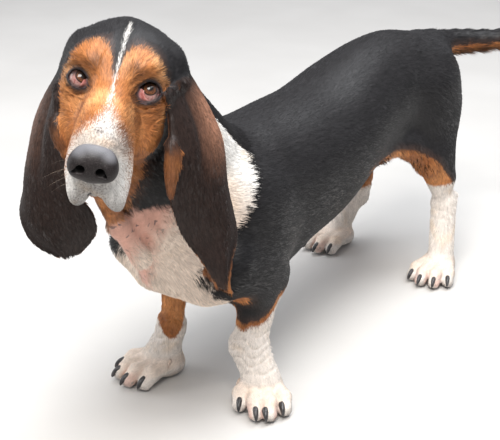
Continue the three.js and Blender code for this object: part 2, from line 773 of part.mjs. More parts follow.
// Head with eye sockets and lids
const headLow = inHead(0, -10, -20).map((v) => v - 150);
const headHigh = inHead(0, -10, -20).map((v) => v + 150);
let head = polygonised(body, headLow, headHigh, STEP_HEAD);
head = largest(head.intersect(beyond([HEAD_CUT], half)));

const eyeBall = (s, r) => {
  const g = new THREE.SphereGeometry(r, 12, 8);
  return solidOf(g, placing(new THREE.Matrix4(), inHead(s * EYE_AT[0], EYE_AT[1], EYE_AT[2])));
};

// A lid is a tapered roll along an arc over the eyeball
function lid(s, rise, sag, thickness) {
  const across = 24;
  const points = [];
  for (let i = 0; i <= 8; i++) {
    const u = i / 8 - 0.5;
    const arch = 1 - 4 * u * u;
    const x = s * EYE_AT[0] + u * across;
    const z = EYE_AT[2] + rise * arch + sag * s * u;
    const dx = u * across;
    const dz = rise * arch + sag * s * u;
    const y = EYE_AT[1] - Math.sqrt(Math.max((EYE_RADIUS + 0.6) ** 2 - dx * dx - dz * dz, 9));
    points.push(vec([x, y, z]));
  }
  const path = new THREE.CatmullRomCurve3(points);
  const ring = new THREE.Shape();
  ring.absarc(0, 0, thickness, 0, Math.PI * 2);
  const g = new THREE.ExtrudeGeometry(ring, { steps: 9, curveSegments: 3, bevelEnabled: false, extrudePath: path });
  return solidOf(g, HEAD_PLACE);
}
for (const s of [1, -1]) {
  head = head.add(lid(s, 6.5, 2, 3)).add(lid(s, -7.5, -2, 2.8));
}
for (const s of [1, -1]) head = head.subtract(eyeBall(s, EYE_RADIUS + 0.35));
around.head = grown(head);

// Jaw between the lips, which leaves the line of the mouth
const jaw = largest(polygonised(surfaceOf(jawForms()), headLow, headHigh, STEP_JAW));
put("jaw", jaw, TAN);
head = head.subtract(grown(jaw));

// Groove under the nose between the two lips
const groove = new THREE.ExtrudeGeometry(
  new THREE.Shape([[-1.6, -3], [1.6, -3], [1.6, 6], [-1.6, 6]].map((p) => new THREE.Vector2(...p))),
  {
    steps: 4,
    bevelEnabled: false,
    extrudePath: new THREE.CatmullRomCurve3([[0, -106, -50], [0, -108, -66], [0, -104, -84], [0, -94, -108]].map(vec)),
  },
);
head = head.subtract(solidOf(groove, HEAD_PLACE));
head = largest(head);
put("head", head, TAN);

// Nose leather with two nostrils
let nose = polygonised(surfaceOf(noseForms()), headLow, headHigh, STEP_NOSE).subtract(around.head);
for (const s of [1, -1]) {
  const bean = new THREE.CapsuleGeometry(3.6, 7, 4, 10);
  const m = placing(turned(s * 24, 30, s * -28), [s * 10 - 2, -122, -43]);
  nose = nose.subtract(solidOf(bean, HEAD_PLACE.clone().multiply(m)));
}
put("nose", largest(nose), NOSE_GREY, 0.35);

// Eyes
for (const s of [1, -1]) put(s > 0 ? "eye_left" : "eye_right", eyeBall(s, EYE_RADIUS), AMBER, 0.1);

// Ears: thin hanging leathers, cupped towards the neck, lying over it without touching
function earSolid(side) {
  const rows = 15;
  const columns = 9;
  const { front, back } = EARS[side];
  const ts = front.map((p, i) => i / (front.length - 1));
  const curves = (pts) => [0, 1, 2].map((c) => curveThrough(ts, pts.map((p) => p[c])));
  const [f, k] = [curves(front), curves(back)];
  const outward = vec([side === "left" ? 1 : -1, -0.6, 0]).applyMatrix4(turned(HEAD_YAW));
  const middle = (u) => [0, 1, 2].map((c) => (f[c](u) + k[c](u)) / 2);
  const grid = [];
  for (let i = 0; i < rows; i++) {
    const u = i / (rows - 1);
    const a = vec(f.map((c) => c(u)));
    const b = vec(k.map((c) => c(u)));
    const across = b.clone().sub(a);
    const down = vec(middle(Math.min(u + 0.02, 1))).sub(vec(middle(Math.max(u - 0.02, 0))));
    const normal = across.clone().cross(down).normalize();
    if (normal.dot(outward) < 0) normal.negate();
    const belly = 0.2 * across.length() * (0.4 + 0.6 * Math.sin(Math.PI * (u * 0.9 + 0.05)));
    const row = [];
    for (let j = 0; j < columns; j++) {
      const v = j / (columns - 1);
      const p = a.clone().lerp(b, v).addScaledVector(normal, belly * Math.pow(Math.sin(Math.PI * v), 0.8));
      if (u > 0.1) clearOfBody(p, EAR_THICKNESS / 2 + 3, side === "left" ? vec(LEFT_EAR_OUT) : null);
      row.push(p);
    }
    grid.push(row);
  }
  return sheetSolid(grid, EAR_THICKNESS);
}

// Pushes a point away from the body, or along a way given, until it is clear by a distance
function clearOfBody(p, clear, way) {
  for (let turn = 0; turn < 6; turn++) {
    const d = body(p.x, p.y, p.z);
    if (d >= clear) return;
    const e = 1;
    const g = vec([
      body(p.x + e, p.y, p.z) - body(p.x - e, p.y, p.z),
      body(p.x, p.y + e, p.z) - body(p.x, p.y - e, p.z),
      body(p.x, p.y, p.z + e) - body(p.x, p.y, p.z - e),
    ]).normalize();
    if (way) p.addScaledVector(way, (clear - d) / Math.max(g.dot(way), 0.35));
    else p.addScaledVector(g, clear - d);
  }
}

// A closed leather of even thickness over a grid of points, thinner along its rim
function sheetSolid(grid, thickness) {
  const rows = grid.length;
  const columns = grid[0].length;
  const point = (i, j) => grid[Math.min(Math.max(i, 0), rows - 1)][Math.min(Math.max(j, 0), columns - 1)];
  const normal = (i, j) => {
    const du = point(i + 1, j).clone().sub(point(i - 1, j));
    const dv = point(i, j + 1).clone().sub(point(i, j - 1));
    return du.cross(dv).normalize();
  };
  const positions = [];
  for (const s of [1, -1]) {
    for (let i = 0; i < rows; i++) {
      for (let j = 0; j < columns; j++) {
        const rim = i === rows - 1 || j === 0 || j === columns - 1;
        const t = (s * thickness * (rim ? 0.35 : 0.5));
        positions.push(...point(i, j).clone().addScaledVector(normal(i, j), t).toArray());
      }
    }
  }
  const n = rows * columns;
  const at = (i, j) => i * columns + j;
  const indices = [];
  for (let i = 0; i < rows - 1; i++) {
    for (let j = 0; j < columns - 1; j++) {
      const [a, b, c, d] = [at(i, j), at(i, j + 1), at(i + 1, j + 1), at(i + 1, j)];
      indices.push(a, c, b, a, d, c);
      indices.push(a + n, b + n, c + n, a + n, c + n, d + n);
    }
  }
  const loop = [];
  for (let j = 0; j < columns; j++) loop.push(at(0, j));
  for (let i = 1; i < rows; i++) loop.push(at(i, columns - 1));
  for (let j = columns - 2; j >= 0; j--) loop.push(at(rows - 1, j));
  for (let i = rows - 2; i > 0; i--) loop.push(at(i, 0));
  loop.forEach((a, i) => {
    const b = loop[(i + 1) % loop.length];
    indices.push(a, b, b + n, a, b + n, a + n);
  });
  const g = new THREE.BufferGeometry();
  g.setAttribute("position", new THREE.BufferAttribute(new Float32Array(positions), 3));
  g.setIndex(indices);
  const solid = solidOf(g);
  return solid.volume() < 0 ? solidOf(flipped(g)) : solid;
}

for (const side of ["left", "right"]) {
  const ear = earSolid(side).subtract(around.head).subtract(around.neck).subtract(around.torso);
  put("ear_" + side, largest(ear), DARK_BROWN);
}

// The origin is below the middle of the whole, on the floor
const bounds = new THREE.Box3().setFromObject(group);
group.position.set(-(bounds.min.x + bounds.max.x) / 2, -(bounds.min.y + bounds.max.y) / 2, -bounds.min.z);

export default group;
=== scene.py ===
import functools
import math

import bmesh
import bpy
import numpy as np
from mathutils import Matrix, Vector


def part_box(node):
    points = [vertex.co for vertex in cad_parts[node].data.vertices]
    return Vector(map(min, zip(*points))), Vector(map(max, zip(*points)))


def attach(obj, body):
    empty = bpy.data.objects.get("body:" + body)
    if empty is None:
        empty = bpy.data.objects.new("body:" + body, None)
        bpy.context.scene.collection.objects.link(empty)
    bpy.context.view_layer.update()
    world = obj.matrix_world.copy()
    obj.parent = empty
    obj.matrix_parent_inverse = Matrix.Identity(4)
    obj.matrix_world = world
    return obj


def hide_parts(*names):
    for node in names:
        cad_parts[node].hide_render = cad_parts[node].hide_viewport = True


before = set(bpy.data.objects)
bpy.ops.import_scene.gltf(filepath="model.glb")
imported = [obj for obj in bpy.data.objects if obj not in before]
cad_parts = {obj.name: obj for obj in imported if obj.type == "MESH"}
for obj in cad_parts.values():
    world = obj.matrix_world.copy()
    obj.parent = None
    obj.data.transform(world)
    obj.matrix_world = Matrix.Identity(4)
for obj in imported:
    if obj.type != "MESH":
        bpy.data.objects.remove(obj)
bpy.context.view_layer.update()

import openvdb
from mathutils import Vector
from mathutils.kdtree import KDTree

# Sizes are in millimetres, with the nose towards -Y, the hound's left towards +X and the floor at 0.
MM = 0.001
FAR = 80.0
# The grids on which the body's skin, the head's and the nose are laid out: the step and two corners.
BODY_GRID, BODY_LOW, BODY_HIGH = 4.5, np.array([-170.0, -290.0, -14.0]), np.array([200.0, 735.0, 470.0])
HEAD_GRID, HEAD_LOW, HEAD_HIGH = 2.2, np.array([-92.0, -384.0, 236.0]), np.array([172.0, -100.0, 552.0])
NOSE_GRID, NOSE_LOW, NOSE_HIGH = 0.9, np.array([-30.0, -132.0, -70.0]), np.array([30.0, -76.0, -6.0])
# The skins of head and body overlap inside the neck, and draw in there by a share of the depth.
OVERLAP, DRAW_IN = 9.0, 0.05
# The skin's height over the floor under the paws.
SOLE = 0.6
# Creases of the pasterns and the hocks: their depth and how far apart they are.
PASTERN_CREASE, HOCK_CREASE = (2.2, 12.5), (1.1, 15)
# How deep the skin lies under the coat, and how much less on the feet, the head and the muzzle.
COAT_DEPTH, LESS_ON_FEET, LESS_ON_HEAD, LESS_ON_MUZZLE = 2.0, 1.1, 0.9, 0.4
# A point of the skin belongs to an ear within this distance of it, and outside the head and neck.
NEAR_EAR, CLEAR_OF_HEAD = 6, 0.2
HEAD_ORIGIN = np.array([69.0, -247.5, 490.6])
HEAD_YAW, HEAD_PITCH, HEAD_ROLL = 33.1, 3.9, 10.6
EYE_AT = (35.5, -3.0, -2.0)
EYE_RADIUS = 11.5
EYE_YAW, EYE_PITCH = 17.6, -22.0
LID_RADII = (15.5, 13.3, 13.5)
FACE_TILT = math.radians(25)
EAR_THICKNESS = 4.2
EAR_ROWS, EAR_COLUMNS = 84, 40
EAR_PUSH = np.array([0.53, -0.75, 0.39])
FORE_PAW_SIZE, HIND_PAW_SIZE = 0.94, 0.88
# Claws and dew claws: length and half width.
CLAW, DEW_CLAW = (18, 6.0), (13, 3.2)
WHISKER_RADIUS = 0.13
# The most tufts in one piece of the coat, and half the width of a tuft's place on the unwrap.
MOST_TUFTS, PATCH = 48000, 0.0015

CAMERA_AT = (907.0, -1203.0, 874.0)
CAMERA_AZIMUTH, CAMERA_ELEVATION = 35.08, 22.87
CAMERA_LENS, CAMERA_SENSOR, CAMERA_REACH = 93.6, 36, 60
FLOOR_SIZE = 90
SKY_COLOUR, SKY_STRENGTH = (0.90, 0.93, 1.0, 1), 0.52
# Lamps: place, what they point at, size, power and colour.
LAMPS = {
    "key": ((0.75, -1.6, 2.6), (0, -0.1, 0.25), 1.6, 108, (1.0, 0.97, 0.93)),
    "top": ((0.3, 0.5, 2.6), (0, 0.1, 0.3), 2.2, 82, (0.94, 0.97, 1.0)),
    "fill": ((-2.2, -1.2, 1.2), (0, -0.1, 0.3), 1.8, 26, (1.0, 1.0, 1.0))}

# Trunk: distance back, top, bottom, half width and how much the upper half is wider.
SECTIONS = np.array([
    (-78, 300, 168, 58, 0.05), (-40, 338, 138, 78, 0.10), (0, 352, 122, 86, 0.14),
    (40, 358, 118, 88, 0.16), (100, 356, 126, 89, 0.16), (157, 357, 142, 89, 0.15),
    (237, 361, 158, 87, 0.12), (302, 376, 183, 81, 0.08), (340, 384, 196, 76, 0.05),
    (400, 390, 214, 72, 0.02), (450, 388, 227, 72, 0.0), (500, 377, 238, 70, 0.0),
    (545, 366, 250, 60, 0.0), (575, 358, 262, 46, 0.0)], float)
TRUNK_CAPS = (40.0, 16.0)

# Tail: points along it and its radius at each.
TAIL = np.array([
    (0, 552, 332, 26), (8, 600, 336, 20), (32, 640, 335, 17.5), (72, 671, 337, 15),
    (114, 692, 350, 12), (148, 704, 374, 9), (166, 708, 402, 5.5)], float)

FORE = {
    1: dict(elbow=(62, 26, 160), wrist=(57, 6, 76), ball=(77, 2, 26), yaw=38, slim=0.95),
    -1: dict(elbow=(-66, 16, 160), wrist=(-62, -4, 74), ball=(-78, -18, 26), yaw=-24, slim=0.78)}
HIND = {
    1: dict(hip=(46, 474, 282), knee=(68, 466, 204), hock=(76, 520, 112), ball=(85, 488, 28), yaw=10),
    -1: dict(hip=(-46, 474, 282), knee=(-72, 462, 204), hock=(-84, 532, 110), ball=(-110, 500, 28),
             yaw=-16)}
HIND_PAW_AT = {1: (85, 474), -1: (-110, 486)}
# The four legs: which side, and whether it is a fore leg.
LIMBS = ((1, True), (-1, True), (1, False), (-1, False))
# Toes of a paw: across, forward and splay, and those of the left fore paw.
TOES = [(-28, -22, -16), (-11, -37, -5), (11, -37, 5), (28, -22, 16)]
FORE_LEFT_TOES = [(-27, -10, -10), (-9, -35, 2), (9, -37, 2), (29, -24, 6)]

# Ears: the front and back edge from the root to the tip.
EARS = {
    1: dict(
        front=[(92, -203, 489), (105, -209, 470), (114, -215, 439), (118, -223, 411),
               (118, -225, 368), (122, -211, 323), (137, -194, 289), (147, -180, 256)],
        back=[(62, -140, 496), (74, -130, 466), (90, -121, 431), (104, -118, 398),
              (112, -118, 349), (130, -124, 299), (143, -151, 276), (150, -167, 250)]),
    -1: dict(
        front=[(18, -250, 500), (22, -265, 477), (26, -272, 445), (29, -279, 415),
               (36, -277, 378), (47, -266, 352), (41, -256, 322), (17, -257, 292)],
        back=[(-15, -197, 498), (-42, -207, 462), (-59, -218, 427), (-64, -227, 388),
              (-70, -240, 353), (-70, -255, 319), (-51, -260, 292), (-14, -260, 281)])}

random = np.random.default_rng(7)


def turned(yaw=0.0, pitch=0.0, roll=0.0):
    """The turn about Z, then X, then Y, in degrees."""
    y, p, r = (math.radians(a) for a in (yaw, pitch, roll))
    cy, sy, cp, sp, cr, sr = math.cos(y), math.sin(y), math.cos(p), math.sin(p), math.cos(r), math.sin(r)
    about_z = np.array([[cy, -sy, 0], [sy, cy, 0], [0, 0, 1]])
    about_x = np.array([[1, 0, 0], [0, cp, -sp], [0, sp, cp]])
    about_y = np.array([[cr, 0, sr], [0, 1, 0], [-sr, 0, cr]])
    return about_z @ about_x @ about_y


HEAD_TURN = turned(HEAD_YAW, HEAD_PITCH, HEAD_ROLL)
WORLD = (np.eye(3), np.zeros(3), 1.0)
HEAD = (HEAD_TURN, HEAD_ORIGIN, 1.0)


def in_head(x, y, z):
    """A point given in the head's own frame."""
    return HEAD_ORIGIN + HEAD_TURN @ np.array([x, y, z], float)


def to_head(p):
    return (p - HEAD_ORIGIN) @ HEAD_TURN


def from_head(p):
    return p @ HEAD_TURN.T + HEAD_ORIGIN


def eye_at(s):
    """The middle of an eye in the head's frame."""
    return np.array([s * EYE_AT[0], EYE_AT[1], EYE_AT[2]])


def ear_side(s):
    """Out of the outer face of an ear, roughly."""
    return turned(HEAD_YAW) @ np.array([s, -0.6, 0])


def unit(v):
    return v / (np.linalg.norm(v, axis=-1, keepdims=True) + 1e-12)


def smooth(x, low, high):
    t = np.clip((x - low) / (high - low), 0, 1)
    return t * t * (3 - 2 * t)


def greatest(*values):
    """The greatest of several values at each point."""
    return functools.reduce(np.maximum, values)


def smooth_min(a, b, k):
    h = np.maximum(k - np.abs(a - b), 0.0) / k
    return np.minimum(a, b) - h * h * k * 0.25


def smooth_max(a, b, k):
    return -smooth_min(-a, -b, k)


def curve(xs, vs, x):
    """A smooth curve through the stations."""
    xs, vs = np.asarray(xs, float), np.asarray(vs, float)
    x = np.clip(x, xs[0], xs[-1])
    i = np.clip(np.searchsorted(xs, x, side="right") - 1, 0, len(xs) - 2)
    d, step = np.diff(vs) / np.diff(xs), np.diff(xs)
    m = np.zeros(len(xs))
    m[1:-1] = (d[1:] * step[:-1] + d[:-1] * step[1:]) / (xs[2:] - xs[:-2])
    m[0], m[-1] = d[0], d[-1]
    h = step[i]
    t = (x - xs[i]) / h
    return (vs[i] * (2 * t ** 3 - 3 * t ** 2 + 1) + h * m[i] * (t ** 3 - 2 * t ** 2 + t)
            + vs[i + 1] * (3 * t ** 2 - 2 * t ** 3) + h * m[i + 1] * (t ** 3 - t ** 2))


class Form:
    """One rounded solid: its distance, its box, and how far it blends with the rest."""

    def __init__(self, distance, low, high, blend, cut=False):
        self.distance, self.blend, self.cut = distance, blend, cut
        self.low, self.high = low - blend - 14, high + blend + 14


def egg(centre, radii, blend, yaw=0, pitch=0, roll=0, place=WORLD, cut=False):
    turn, origin, size = place
    middle = turn @ (np.array(centre, float) * size) + origin
    axes = turn @ turned(yaw, pitch, roll)
    radii = np.array(radii, float) * size
    reach = np.sqrt(((axes * radii) ** 2).sum(1))

    def distance(p):
        q = (p - middle) @ axes
        k0 = np.sqrt(((q / radii) ** 2).sum(-1)) + 1e-9
        k1 = np.sqrt(((q / radii ** 2) ** 2).sum(-1)) + 1e-9
        return k0 * (k0 - 1) / k1

    return Form(distance, middle - reach, middle + reach, blend * size, cut)


def limb(start, end, r0, r1, blend, flat=None, place=WORLD, cut=False):
    turn, origin, size = place
    a = turn @ (np.array(start, float) * size) + origin
    b = turn @ (np.array(end, float) * size) + origin
    r0, r1 = r0 * size, r1 * size
    length = np.linalg.norm(b - a)
    u = (b - a) / length
    slope = (r0 - r1) / length
    lean = math.sqrt(max(1 - slope * slope, 1e-6))
    across = None
    if flat is not None:
        across = turn @ np.array(flat[0], float)
        across = unit(across - (across @ u) * u)

    def distance(p):
        d = p - a
        if across is not None:
            d = d + np.multiply.outer(d @ across, across) * (1 / flat[1] - 1)
        t = d @ u
        out = np.sqrt(np.maximum((d ** 2).sum(-1) - t * t, 0))
        along = np.clip(t + out * slope / lean, 0, length)
        far = np.sqrt((t - along) ** 2 + out ** 2) - (r0 + (r1 - r0) * along / length)
        return far * min(1, flat[1] ** 0.5) if flat is not None else far

    r = max(r0, r1)
    return Form(distance, np.minimum(a, b) - r, np.maximum(a, b) + r, blend * size, cut)


def trunk():
    s = SECTIONS

    def distance(p):
        x, y, z = p[..., 0], p[..., 1], p[..., 2]
        top, bottom, width, egged = (curve(s[:, 0], s[:, c], y) for c in (1, 2, 3, 4))
        h, middle = (top - bottom) / 2, (top + bottom) / 2
        f = (z - middle) / h
        width = width * (1 + egged * np.clip(f, -1.3, 1.3))
        cap = np.maximum(0, s[0, 0] - y) / TRUNK_CAPS[0] + np.maximum(0, y - s[-1, 0]) / TRUNK_CAPS[1]
        steep = np.where(y < s[0, 0], cap / TRUNK_CAPS[0], cap / TRUNK_CAPS[1])
        q = np.sqrt((x / width) ** 2 + f ** 2 + cap ** 2) + 1e-9
        g = np.sqrt((x / width ** 2) ** 2 + (f / h) ** 2 + steep ** 2) + 1e-9
        return q * (q - 1) / g

    w = s[:, 3].max() * 1.2
    low = np.array([-w, s[0, 0] - TRUNK_CAPS[0], s[:, 2].min()])
    high = np.array([w, s[-1, 0] + TRUNK_CAPS[1], s[:, 1].max()])
    forms = [Form(distance, low, high, 20)]
    for side in (1, -1):
        forms += [
            egg((side * 62, 2, 238), (36, 66, 88), 26, pitch=22),
            limb((side * 68, -60, 216), (side * 66, 14, 178), 36, 29, 24),
            egg((side * 36, -54, 188), (36, 40, 34), 20),
            egg((side * 44, 502, 270), (40, 72, 84), 26, pitch=10)]
    return forms


def fore_leg(side):
    leg = FORE[side]
    elbow, wrist, ball = (np.array(leg[k], float) for k in ("elbow", "wrist", "ball"))
    facing = turned(leg["yaw"]) @ np.array([0, 1.0, 0])
    slim = leg["slim"]
    heel = np.array([0, 10, 0]) if side > 0 else np.array([12, 14, 0])
    return [
        limb(elbow + (0, 14, 8), elbow + (0, -14, 0), 22, 28, 20),
        limb(elbow, wrist, 29, 24 * slim, 20, flat=(facing, 0.74)),
        egg(wrist + (-2, 0, 2), (26 * slim, 21 * slim, 19), 10, yaw=leg["yaw"]),
        limb(wrist, ball + (0, 0, 8), 23.5 * slim, 25 * slim, 12, flat=(facing, 0.8)),
        limb(wrist, ball + heel + (0, 0, 6), 20 * slim, 20 * slim, 12)]


def hind_leg(side):
    hip, knee, hock, ball = (np.array(HIND[side][k], float) for k in ("hip", "knee", "hock", "ball"))
    across = np.array([1.0, 0, 0])
    return [
        limb(hip, knee, 56, 33, 30, flat=(across, 0.68)),
        limb(hip + (side * 4, 34, -30), hock + (0, -22, 50), 44, 24, 24, flat=(across, 0.72)),
        limb(knee + (0, 10, -6), hock + (0, -18, 10), 32, 19, 20, flat=(across, 0.72)),
        limb((side * 60, 345, 244), (side * 64, 405, 229), 11, 13, 24, flat=(across, 0.8)),
        limb((side * 64, 405, 229), knee + (0, -18, -4), 13, 15, 24, flat=(across, 0.8)),
        limb(hock + (0, 10, 4), hock + (0, -6, -30), 12, 14, 14),
        limb(hock + (0, -16, 0), ball + (0, 0, 4), 21, 20, 14)]


def leg(side, fore):
    return fore_leg(side) if fore else hind_leg(side)


def paw_place(side, fore):
    if fore:
        x, y, _ = FORE[side]["ball"]
        return turned(FORE[side]["yaw"]), np.array([x, y, 0.0]), FORE_PAW_SIZE
    x, y = HIND_PAW_AT[side]
    return turned(HIND[side]["yaw"]), np.array([x, y, 0.0]), HIND_PAW_SIZE


def toes_of(side, fore):
    return FORE_LEFT_TOES if fore and side > 0 else TOES


def toe_tip(toe, reach=14, drop=-9):
    x, y, splay = toe
    a = math.radians(splay)
    return np.array([x + math.sin(a) * reach, y - math.cos(a) * reach, 21 + drop])


def paw(side, fore):
    place = paw_place(side, fore)
    forms = [egg((0, 8, 20), (31, 32, 21), 12, place=place), egg((0, 22, 13), (20, 20, 14), 10, place=place)]
    for toe in toes_of(side, fore):
        knuckle = np.array([toe[0], toe[1], 21.0])
        forms.append(limb((toe[0] * 0.62, 6, 24), knuckle, 12.5, 12.8, 4, place=place))
        forms.append(limb(knuckle, toe_tip(toe), 12.8, 11, 2.5, place=place))
    return forms


def tail_line(count=13):
    t, u = np.linspace(0, 1, len(TAIL)), np.linspace(0, 1, count)
    return np.stack([curve(t, TAIL[:, c], u) for c in range(4)], -1)


def tail():
    p = tail_line()
    return [limb(p[i, :3], p[i + 1, :3], p[i, 3], p[i + 1, 3], 8 if i else 26) for i in range(len(p) - 1)]


def neck():
    x = np.array([1.0, 0, 0])
    return [
        limb((0, 0, 300), in_head(0, 70, -6), 62, 47, 24, flat=(x, 0.95)),
        limb((0, -62, 238), in_head(0, 36, -44), 60, 42, 24, flat=(x, 0.85)),
        limb((2, -98, 238), in_head(0, 4, -74), 34, 20, 22, flat=(x, 0.62)),
        limb((44, -200, 340), (40, -176, 306), 8, 9, 6),
        limb((40, -176, 306), (38, -146, 274), 9, 7, 6),
        limb((54, -112, 292), (46, -136, 281), 8, 8, 6),
        limb((46, -136, 281), (37, -140, 262), 8, 6, 6),
        limb(in_head(2, -44, -82), in_head(0, -22, -104), 13, 11, 10),
        limb(in_head(0, -22, -104), (35, -212, 313), 11, 12, 12),
        limb((35, -212, 313), (28, -168, 256), 12, 14, 14)]


head_egg, head_limb = (functools.partial(kind, place=HEAD) for kind in (egg, limb))


def skull():
    forms = [
        head_egg((0, 46, 4), (53, 70, 41), 14),
        head_egg((0, 96, 12), (20, 24, 22), 16)]
    for s in (1, -1):
        forms += [
            head_egg((s * 24, 8, 18), (25, 28, 20), 12),
            head_egg((s * 42, 22, -10), (14, 34, 22), 14),
            head_egg((s * 33, 24, -46), (22, 42, 38), 16),
            head_egg((s * 19, -30, -72), (13, 38, 32), 14, yaw=s * 10)]
    # The ears' base, the upper lips, which hang lower on the left, and the lip between them.
    forms += [
        head_egg((11, 48, 4), (51, 62, 39), 10),
        head_egg((52, 56, -2), (14, 26, 28), 14),
        head_egg((-46, 60, -2), (12, 26, 26), 14),
        head_egg((-14, -64, -70), (14, 40, 37), 12, yaw=-7, roll=-3),
        head_egg((12, -64, -72), (15, 34, 39), 12, yaw=7, roll=-24),
        head_egg((4, -84, -67), (19, 18, 17), 10)]
    forms += [
        head_limb((0, 4, -6), (0, -86, -30), 28, 22, 18),
        head_limb((0, 10, -36), (0, -82, -46), 33, 25, 14)]
    for s in (1, -1):
        out = turned(s * EYE_YAW, EYE_PITCH) @ np.array([0, -1.0, 0])
        at = eye_at(s)
        forms.append(head_egg(at + out * 20, (19, 13, 16), 10, yaw=s * EYE_YAW, pitch=EYE_PITCH, cut=True))
        forms.append(head_egg(at, LID_RADII, 5, yaw=s * EYE_YAW, pitch=EYE_PITCH))
    return forms


def jaw():
    forms = [head_limb((0, 30, -64), (0, -70, -83), 26, 11, 10)]
    for s in (1, -1):
        forms.append(head_limb((s * 9, -68, -82), (s * 22, -20, -80), 6.5, 9, 6))
    return forms


def union(forms, p):
    """The distance to all the forms together, in their order."""
    low, high = p.reshape(-1, 3).min(0), p.reshape(-1, 3).max(0)
    f = np.full(p.shape[:-1], FAR)
    for form in forms:
        if (form.low > high).any() or (form.high < low).any():
            continue
        d = form.distance(p)
        f = smooth_max(f, -d, form.blend) if form.cut else smooth_min(f, d, form.blend)
    return f


def grid_points(low, shape, step):
    axes = [low[d] + step * np.arange(shape[d]) for d in range(3)]
    return np.stack(np.meshgrid(*axes, indexing="ij"), -1)


def union_grid(forms, low, high, step):
    """The same distance on a grid, with each form reckoned in its own box only."""
    shape = np.ceil((high - low) / step).astype(int) + 1
    f = np.full(shape, FAR, np.float32)
    for form in forms:
        i = np.maximum(np.floor((form.low - low) / step).astype(int), 0)
        j = np.minimum(np.ceil((form.high - low) / step).astype(int) + 1, shape)
        if (j <= i).any():
            continue
        d = form.distance(grid_points(low + step * i, j - i, step)).astype(np.float32)
        part = tuple(slice(a, b) for a, b in zip(i, j))
        if form.cut:
            f[part] = smooth_max(f[part], -d, form.blend)
        else:
            f[part] = smooth_min(f[part], d, form.blend)
    return f


def surface(field, low, step):
    """Points and quads of the surface where the field is zero."""
    for axis in range(3):
        edge = [slice(None)] * 3
        for end in (0, -1):
            edge[axis] = end
            field[tuple(edge)] = np.maximum(field[tuple(edge)], 1.0)
    grid = openvdb.FloatGrid(FAR)
    grid.copyFromArray(np.ascontiguousarray(field, dtype=np.float32))
    points, quads = grid.convertToQuads(isovalue=0.0)
    return points.astype(float) * step + low, quads[:, ::-1].astype(np.int64)


# The forms in the order in which they blend.
LEGS = [form for which in LIMBS for form in leg(*which)]
PAWS = [form for which in LIMBS for form in paw(*which)]
TRUNK, NECK, SKULL, JAW = trunk(), neck(), skull(), jaw()
BODY = TRUNK + LEGS + PAWS + tail() + NECK + SKULL

# The head's skin and the body's meet inside the neck, on this plane.
CUT_AT = in_head(0, 84, -62)
CUT_NORMAL = unit(HEAD_TURN @ np.array([0, -0.62, 0.78]))


def ridge(x):
    """1 on a crease and 0 half way between creases."""
    return (1 - np.abs(np.sin(math.pi * x))) ** 3


def skin_folds(p):
    """How far the loose skin is drawn in, in mm."""
    x, y, z = p[..., 0], p[..., 1], p[..., 2]
    sway = 1.6 * np.sin(x * 0.11 + y * 0.07) + 1.1 * np.sin(x * 0.23 - z * 0.05 + 1.3)
    inward = np.zeros_like(x)
    for side in (1, -1):
        wrist = FORE[side]["wrist"]
        near = smooth(np.hypot(x - wrist[0], y - wrist[1]), 62, 44)
        front = smooth(-(y - wrist[1]) + side * 0.5 * (x - wrist[0]), -26, 4)
        window = smooth(z, 42, 54) * smooth(z, 112, 96)
        depth, apart = PASTERN_CREASE
        inward += near * window * (0.35 + 0.65 * front) * depth * ridge((z + sway * 2.6) / apart)
        hock = HIND[side]["hock"]
        near = smooth(np.hypot(x - hock[0], y - hock[1] + 22), 56, 40)
        window = smooth(z, 84, 96) * smooth(z, 150, 132)
        depth, apart = HOCK_CREASE
        inward += near * window * depth * ridge((z + sway * 2 + 0.4 * y) / apart)
    return inward


def eye_frame(p_head, s):
    """Place by an eye: outwards to its own side, up, and out of the head."""
    q = (p_head - eye_at(s)) @ turned(s * EYE_YAW, EYE_PITCH)
    return s * q[..., 0], q[..., 2], -q[..., 1]


def opening(h, v, s):
    """Roughly the distance outwards from the edge of the lids."""
    half = 11.4 if s > 0 else 9.6
    h, v = h + 2.0, v if s > 0 else v - 1.4
    line = v + 1.0 - 0.14 * h
    tall = np.where(line > 0, 11.0 if s > 0 else 8.4, 7.8 if s > 0 else 6.6)
    power = 1.75
    n = (np.abs(h / half) ** power + np.abs(line / tall) ** power) ** (1 / power)
    return (n - 1) * np.minimum(half, tall)


def lid_height(h, v):
    return LID_RADII[1] * np.sqrt(np.maximum(1 - (h / LID_RADII[0]) ** 2 - (v / LID_RADII[2]) ** 2, 0.05))


